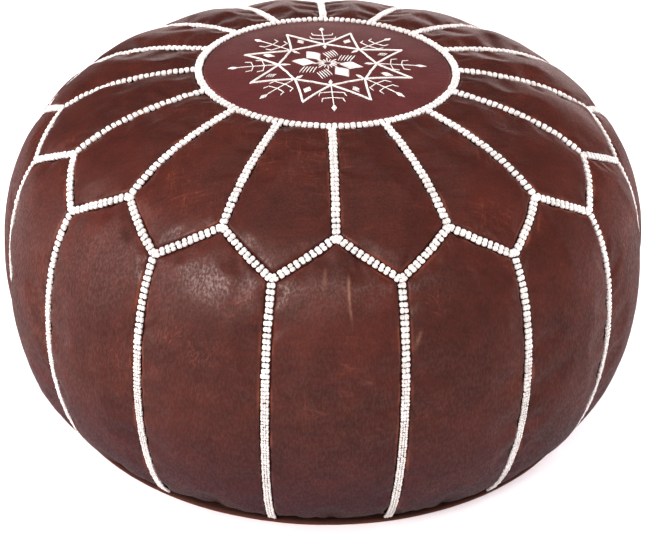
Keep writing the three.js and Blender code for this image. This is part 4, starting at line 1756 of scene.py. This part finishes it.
@dataclass
class Zip:
    """Teeth on the closed chain. Sizes are in mm."""

    half_length: float = 150.0
    level: float = 12.2
    pitch: float = 2.6
    inner: float = 0.62
    outer: float = 3.2
    cord: float = 2.7  # from the middle to each cord's own

    def teeth(self, side: int) -> bpy.types.Object:
        """One row of teeth on its cord.

        Args:
            side: -1 for the front row, 1 for the back one.

        Returns:
            Its object.
        """
        shape, faces = pillow_shape(12, 5, 0.42)
        frames = []
        shift = self.pitch / 4 * side
        for x in np.arange(-self.half_length + 1.2, self.half_length - 1.1, self.pitch):
            middle = side * (self.inner + self.outer) / 2
            for offset, sizes in ((0.0, (0.52, 1.25, 1.45)), (-side * 0.75, (0.82, 0.5, 1.15))):
                centre = np.array([x + shift, middle + offset, self.level])
                frames.append(np.concatenate([np.diag(sizes), centre[:, None]], axis=1) * MM)
        builder = MeshBuilder()
        builder.add_copies(shape, faces, np.array(frames))
        cord, cord_faces = self._cord(side)
        builder.add(cord, cord_faces)
        return builder.build("zip_teeth_back" if side > 0 else "zip_teeth_front")

    def _cord(self, side: int) -> tuple[np.ndarray, list[list[int]]]:
        """The cord that the teeth grip.

        Args:
            side: -1 for the front row, 1 for the back one.

        Returns:
            Its points and faces.
        """
        stations, sides = 90, 8
        x = np.linspace(-self.half_length, self.half_length, stations)
        turn = np.linspace(0, 2 * math.pi, sides, endpoint=False)
        points = []
        for k, place in enumerate(x):
            swell = 0.62 + 0.05 * math.sin(k * 2.1)
            for angle in turn:
                beside = side * self.cord + swell * math.cos(angle)
                points.append([place, beside, self.level + swell * math.sin(angle)])
        return np.array(points) * MM, tube_faces(stations, sides, flip=True)


@dataclass
class Fitting:
    """The zip's slider and its pull, sized by their solids. Sizes are in mm."""

    plate: float = 1.5
    edge: float = 0.4
    wire: float = 0.62
    bail: float = 4.3  # half the length of the bent wire
    waist: float = 0.16  # how much the slider narrows towards its nose
    eye: float = 5.6  # pivot to the flat part of the pull

    def _ring(
        self, outer: np.ndarray, inner: np.ndarray, low: float, high: float
    ) -> tuple[np.ndarray, np.ndarray]:
        """A flat plate with softened edges and a hole.

        Args:
            outer: Its outline.
            inner: Outline of the hole, with as many points.
            low: Height of its underside.
            high: Height of its top.

        Returns:
            Its points and faces.
        """
        soft = self.edge
        levels = []
        for outline, grow in ((outer, -soft), (inner, soft)):
            middle = outline.mean(axis=0)
            shifted = middle + (outline - middle) * (1 + grow / np.abs(outline - middle).max(axis=0))
            heights = [(shifted, low), (outline, low + soft), (outline, high - soft), (shifted, high)]
            levels += heights if grow < 0 else heights[::-1]
        points = np.concatenate([np.column_stack([ring, np.full(len(ring), z)]) for ring, z in levels])
        return points, ring_faces(len(levels), len(outer))

    @staticmethod
    def _bar(
        builder: MeshBuilder, middle: tuple[float, float, float], sizes: tuple[float, float, float]
    ) -> None:
        """Adds a softly squared bar.

        Args:
            builder: What it is added to.
            middle: Its middle.
            sizes: Its half sizes.
        """
        shape, faces = pillow_shape(16, 7, 0.35)
        builder.add((shape * np.array(sizes) + np.array(middle)) * MM, faces)

    def slider(self, level: float) -> bpy.types.Object:
        """Two plates with a post and flanges between them, and a bail for the pull.

        Args:
            level: Height of the chain's middle.

        Returns:
            The slider, at the closed end.
        """
        low, high = (np.array(corner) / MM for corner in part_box("zip_slider"))
        middle, half, wide = (low[0] + high[0]) / 2, (high[0] - low[0]) / 2, high[1]
        gap = high[2] - level - self.plate
        builder = MeshBuilder()
        outer, hole = rounded_outline(half, wide), rounded_outline(0.9, 0.9, square=1.0)
        outer[:, 1] *= 1 - self.waist * smoothstep(0, half, outer[:, 0])
        for bottom in (level - gap - self.plate, level + gap):
            points, faces = self._ring(outer, hole, bottom, bottom + self.plate)
            builder.add((points + [middle, 0, 0]) * MM, faces)
        self._bar(builder, (middle - 4, 0, level), (1.1, 0.48, gap + 0.6))
        for side in (-1, 1):
            for way in (-1, 1):
                flange = (middle, side * (wide - 0.7), level + way * (gap - 0.25))
                self._bar(builder, flange, (half * 0.8, 0.5, 0.8))
        underside = level - gap - self.plate
        rings = self._bail(underside - low[2] - self.wire)
        builder.add((rings + [middle, 0, underside + 0.3]) * MM, tube_faces(*rings.shape[:2], flip=True))
        return builder.build("slider")

    def _bail(self, drop: float) -> np.ndarray:
        """The bent wire that holds the pull, with its ends at the origin's height.

        Args:
            drop: How far it hangs down.

        Returns:
            Its rings of points, shape (rings, sides, 3).
        """
        arch = rounded_outline(self.bail, drop, 48, 0.45)[24:]
        arch = np.concatenate([arch, [[self.bail, 0.0]]])
        along = unit(np.gradient(arch, axis=0))
        section = np.linspace(0, 2 * math.pi, 12, endpoint=False)
        swell = self.wire * np.cos(section)
        x = arch[:, 0, None] - along[:, 1, None] * swell
        z = arch[:, 1, None] + along[:, 0, None] * swell
        return np.stack([x, np.broadcast_to(self.wire * np.sin(section), x.shape), z], axis=-1)

    def pull(self) -> bpy.types.Object:
        """A flat drop with a long hole, hung by two arms and a pin."""
        low, high = (np.array(corner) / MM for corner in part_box("zip_pull"))
        thick, wide = (high[2] - low[2]) / 2, high[1]
        level, pivot = low[2] + thick, high[0] - thick
        builder = MeshBuilder()
        half = (pivot - self.eye - low[0]) / 2
        outer, hole = rounded_outline(half, wide, square=0.55), rounded_outline(6.0, 1.7, square=0.7)
        outer[:, 1] *= 1 - 0.14 * smoothstep(0, 1, 1 - np.abs(outer[:, 0] / half))
        points, faces = self._ring(outer, hole - [half - 10.5, 0], -thick, thick)
        builder.add((points + [low[0] + half, 0, level]) * MM, faces)
        for side in (-1, 1):
            arm = (pivot - self.eye / 2 - 0.4, side * (wide - 0.85), level)
            self._bar(builder, arm, (self.eye / 2 + 1.1, 0.8, thick))
        self._bar(builder, (pivot, 0, level), (thick, wide - 0.1, thick))
        return builder.build("pull")


@dataclass
class Filling:
    """The liner bag and the stuffing, loosened from the plain solids that hold their place."""

    subdivisions: int = 2

    def soften(self, node: str, name: str, depth: float, bump: float) -> bpy.types.Object:
        """A soft copy of a solid.

        Args:
            node: The solid's name.
            name: Name of the new piece.
            depth: How far the surface draws in at most, in mm.
            bump: Width of one lump, in mm.

        Returns:
            The new piece.
        """
        source = bpy.data.objects[node]
        piece = bpy.data.objects.new(name, source.data.copy())
        bpy.context.scene.collection.objects.link(piece)
        piece.data.materials.clear()
        divide = piece.modifiers.new("divide", "SUBSURF")
        divide.subdivision_type = "SIMPLE"
        divide.levels = divide.render_levels = self.subdivisions
        bpy.context.view_layer.update()
        settled = bpy.data.meshes.new_from_object(piece.evaluated_get(bpy.context.evaluated_depsgraph_get()))
        piece.modifiers.clear()
        piece.data = settled
        count = len(settled.vertices)
        places, normals = np.empty(count * 3), np.empty(count * 3)
        settled.vertices.foreach_get("co", places)
        settled.vertices.foreach_get("normal", normals)
        places, normals = places.reshape(-1, 3), normals.reshape(-1, 3)
        drop = 0.5 * depth * (1 + lattice_noise(places, bump * MM, 71)) * MM
        settled.vertices.foreach_set("co", (places - normals * drop[:, None]).ravel())
        settled.update()
        return piece


# ---------------------------------------------------------------- studio


@dataclass(frozen=True)
class Lamp:
    """A soft rectangular lamp aimed at a point."""

    name: str
    place: tuple[float, float, float]
    aim: tuple[float, float, float]
    size: tuple[float, float]
    power: float
    tint: tuple[float, float, float] = (1.0, 1.0, 1.0)
    mirrored: bool = True  # whether polish shows it


LAMPS = (
    Lamp("overhead", (0.0, 0.4, 2.4), (0.0, 0.0, 0.1), (2.2, 1.8), 9.0, (1.0, 0.95, 0.93)),
    Lamp("front_top", (0.3, -1.75, 1.55), (0.0, 0.0, 0.15), (1.7, 0.8), 15.0, (1.0, 0.84, 0.77)),
    Lamp("low_back", (0.5, 2.4, 0.3), (0.0, 0.0, 0.28), (2.4, 0.5), 14.0, (1.0, 0.84, 0.82)),
    Lamp("left_front", (-1.3, -1.67, 1.43), (0.0, 0.0, 0.15), (1.1, 0.56), 50.0, (1.0, 0.84, 0.79)),
    Lamp("left_side", (-2.2, -0.5, 0.9), (0.0, 0.0, 0.12), (1.8, 1.8), 24.0, (1.0, 0.86, 0.84)),
    Lamp("right_front", (2.0, -1.2, 0.9), (0.0, 0.0, 0.12), (1.0, 1.0), 11.0, (1.0, 0.9, 0.88), False),
    Lamp("left_rim", (-1.8, 0.5, 0.7), (0.0, 0.0, 0.15), (1.0, 1.4), 40.0, (1.0, 0.88, 0.86), False),
    Lamp("right_rim", (1.8, 0.5, 0.7), (0.0, 0.0, 0.15), (1.0, 1.4), 58.0, (1.0, 0.88, 0.86), False),
)


@dataclass
class Studio:
    """Pale floor, soft lamps and the camera."""

    elevation: float = 30.4
    azimuth: float = -2.4
    distance: float = 1.636
    look_height: float = 0.1006
    lens: float = 104.4
    roll: float = 1.2
    shift: tuple[float, float] = (-0.001, 0.0)
    floor_reach: float = 9.0

    def build(self) -> None:
        """Builds the whole studio."""
        self._floor()
        self._world()
        for lamp in LAMPS:
            self._lamp(lamp)
        self._camera()
        bpy.context.scene.view_settings.view_transform = "Standard"

    def _floor(self) -> None:
        """A wide pale floor, dimmer in reflections and a little lifted for the camera."""
        builder = MeshBuilder()
        square = np.array([[-1, -1, 0], [1, -1, 0], [1, 1, 0], [-1, 1, 0]])
        builder.add(square * self.floor_reach, [[0, 1, 2, 3]])
        floor = builder.build("floor", smooth=False)
        material, net, shader = start_material("pale_floor")
        tone = net.ramp(net.noise(net.place(), 3.0, 2.0), 0.3, 0.7)
        tone = net.blend(tone, (0.86, 0.86, 0.88, 1), (0.88, 0.88, 0.89, 1))
        ray = net.add("ShaderNodeLightPath")
        mirrored = net.blend(ray.outputs["Is Glossy Ray"], tone, (0.3, 0.3, 0.31, 1))
        net.feed(shader.inputs["Base Color"], mirrored)
        shader.inputs["Roughness"].default_value = 0.8
        shader.inputs["Emission Color"].default_value = (0.82, 0.8, 1.0, 1)
        lifted = net.ramp(ray.outputs["Is Camera Ray"], 0.0, 1.0, 0.0, 0.16)
        net.feed(shader.inputs["Emission Strength"], lifted)
        floor.data.materials.append(material)
        floor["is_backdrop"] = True

    @staticmethod
    def _world() -> None:
        """Even white light from all round, dimmer in reflections."""
        world = bpy.data.worlds.new("studio")
        world.use_nodes = True
        background = next(n for n in world.node_tree.nodes if n.type == "BACKGROUND")
        background.inputs["Color"].default_value = (0.97, 0.97, 1.0, 1)
        net = Net(world.node_tree)
        ray = net.add("ShaderNodeLightPath")
        net.feed(background.inputs["Strength"], net.ramp(ray.outputs["Is Glossy Ray"], 0.0, 1.0, 0.77, 0.12))
        bpy.context.scene.world = world

    @staticmethod
    def _lamp(lamp: Lamp) -> None:
        """Hangs one lamp."""
        data = bpy.data.lights.new(lamp.name, "AREA")
        data.shape = "RECTANGLE"
        data.size, data.size_y = lamp.size
        data.energy, data.color = lamp.power, lamp.tint
        holder = bpy.data.objects.new(lamp.name, data)
        holder.visible_glossy = lamp.mirrored
        bpy.context.scene.collection.objects.link(holder)
        place = Vector(lamp.place)
        turn = (Vector(lamp.aim) - place).to_track_quat("-Z", "Y")
        holder.matrix_world = Matrix.Translation(place) @ turn.to_matrix().to_4x4()

    def _camera(self) -> None:
        """Sets the camera up."""
        data = bpy.data.cameras.new("camera")
        data.lens, data.sensor_width = self.lens, 36.0
        data.shift_x, data.shift_y = self.shift
        data.clip_start, data.clip_end = 0.05, 60
        camera = bpy.data.objects.new("camera", data)
        bpy.context.scene.collection.objects.link(camera)
        low, turn = math.radians(self.elevation), math.radians(self.azimuth)
        away = Vector((math.sin(turn) * math.cos(low), -math.cos(turn) * math.cos(low), math.sin(low)))
        target = Vector((0, 0, self.look_height))
        facing = (-away).to_track_quat("-Z", "Y").to_matrix().to_4x4()
        tilt = Matrix.Rotation(math.radians(self.roll), 4, "Z")
        camera.matrix_world = Matrix.Translation(target + away * self.distance) @ facing @ tilt
        bpy.context.scene.camera = camera


# ---------------------------------------------------------------- assembly


class Slot(Enum):
    """The record's material slots."""

    MEDALLION = "medallion_leather"
    PETAL = "petal_leather"
    SIDE = "side_leather"
    BASE = "base_leather"
    THREAD = "cotton_thread"
    TAPE = "zip_tape"
    BRASS = "zip_brass"
    LINER = "liner_cotton"
    FILL = "cotton_fill"


# The fifth colour of each leather is a painted floor reflection and shade, mixed in near the floor by the
# share after it.
FINISHES = {
    # painted reflection: the medallion's dark and light colours are tinted purple for the studio light it
    # reflects
    Slot.MEDALLION: Leather("medallion_leather_look", "3f1a19", "562627", "7c4038", "35161f", 0.0, coat=0.15),
    Slot.PETAL: Leather("petal_leather_look", "2b0e09", "461b12", "743b29", "35161f", 0.0, coat=0.3),
    Slot.SIDE: Leather("side_leather_look", "2c0f09", "471b12", "7b402c", "321624", 0.6, coat=0.5),
    Slot.BASE: Leather("base_leather_look", "3c160a", "5c2812", "6e3418", "43200f", 0.2, rough=0.6, coat=0.0),
    Slot.THREAD: Thread("white_cotton", "ebebea", "a3a09d"),
    Slot.TAPE: Cloth("zip_tape_look", "2e1a14", "54342a"),
    Slot.BRASS: Brass("zip_brass_look"),
    Slot.LINER: Cloth("liner_cotton_look", "b3a78f", "ded6c6", 2600.0),
    Slot.FILL: Cloth("filling_look", "cfc8b8", "f2efe6", 900.0),
}


class Pouf:
    """Puts the pouf together."""

    def __init__(self, frame: dict) -> None:
        """Prepares the finishes for a loaded frame."""
        self.frame = frame
        effects = Effects()
        self.looks = {slot: finish.material(effects) for slot, finish in FINISHES.items()}
        self.pieces = 0

    def fit(
        self,
        piece: bpy.types.Object,
        slot: Slot,
        *nodes: str,
        padded: float | None = None,
        body: str = "cover",
    ) -> None:
        """Dresses a piece, rides it on a body and hides the solids that it replaces.

        Args:
            piece: The piece.
            slot: The slot of its finish.
            *nodes: The solids that it replaces.
            padded: Not used.
            body: The body that it moves with.
        """
        piece.data.materials.clear()
        piece.data.materials.append(self.looks[slot])
        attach(piece, body)
        if nodes:
            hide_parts(*nodes)
        self.pieces += 1
        LOG.info("%s: %d faces", piece.name, len(piece.data.polygons))

    def dress_solid(self, node: str, slot: Slot, bevel: float = 0.0) -> None:
        """Gives a carried-over solid its finish and rounded edges.

        Args:
            node: The solid's name.
            slot: The slot of its finish.
            bevel: Radius of its edges, in mm.
        """
        solid = self.frame["nodes"][node]
        solid.data.materials.clear()
        solid.data.materials.append(self.looks[slot])
        if bevel:
            rounding = solid.modifiers.new("rounding", "BEVEL")
            rounding.width = bevel * MM
            rounding.segments = 2
            rounding.angle_limit = math.radians(40)
            rounding.harden_normals = False
        LOG.info("%s: solid kept", node)

    def build(self) -> None:
        """Builds every sub-assembly in order."""
        surface = SeamSurface()
        skin = CoverSkin(surface)
        maker = PanelMaker(skin)
        for k in range(PANELS):
            self.fit(maker.make(Family.PETAL, k), Slot.PETAL, f"petal_panel_{k + 1:02d}", padded=0.85)
            self.fit(maker.make(Family.SIDE, k), Slot.SIDE, f"side_panel_{k + 1:02d}", padded=0.85)
        medallion = Medallion(surface)
        self.fit(medallion.build(), Slot.MEDALLION, "medallion", padded=0.85)
        self.fit(Embroidery(medallion).build(), Slot.THREAD, "medallion_embroidery")
        stitching = Stitching(surface)
        self.fit(stitching.ring_and_spokes(), Slot.THREAD, "ring_stitching")
        for run in range(RUNS):
            self.fit(stitching.side_run(run), Slot.THREAD, f"side_stitching_{run + 1}")
        self.build_base()
        self.build_inside()

    def build_base(self) -> None:
        """Builds the base and its zip."""
        base, closure = Base(), Zip()
        self.fit(base.welt(), Slot.BASE, "base_welt")
        for side, word in ((-1, "front"), (1, "back")):
            self.fit(base.half(side), Slot.BASE, f"base_half_{word}")
            self.fit(base.hem_stitches(side), Slot.TAPE)
            self.fit(closure.teeth(side), Slot.BRASS, f"zip_chain_{word}")
            self.dress_solid(f"zip_tape_{word}", Slot.TAPE, 0.15)
        for node in ("zip_stop_open_end", "zip_stop_closed_end"):
            self.dress_solid(node, Slot.BRASS, 0.35)
        fitting = Fitting()
        self.fit(fitting.slider(closure.level), Slot.BRASS, "zip_slider", body="slider")
        self.fit(fitting.pull(), Slot.BRASS, "zip_pull", body="pull")
        for end, node in ((-1, "zip_end_tab_left"), (1, "zip_end_tab_right")):
            self.fit(base.tab(end, node), Slot.BASE, node)

    def build_inside(self) -> None:
        """Builds the liner bag and the stuffing."""
        filling = Filling()
        self.fit(filling.soften("liner_bag", "liner", 0.25, 40.0), Slot.LINER, "liner_bag", padded=0.85)
        self.fit(filling.soften("stuffing", "filling", 1.6, 28.0), Slot.FILL, "stuffing", padded=0.85)


def corners(box: tuple[Vector, Vector]) -> list[list[float]]:
    """A box as plain lists of numbers."""
    return [[float(value) for value in corner] for corner in box]


def main() -> None:
    """Builds the pouf and its studio."""
    logging.basicConfig(level=logging.INFO, format="%(name)s: %(message)s")
    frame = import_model()
    solid_box = corners(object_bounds())
    Studio().build()
    pouf = Pouf(frame)
    pouf.build()
    LOG.info("%d pieces made", pouf.pieces)
    bpy.context.view_layer.update()
    {"cad": solid_box, "visual": corners(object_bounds())}


if __name__ == "__main__":
    main()
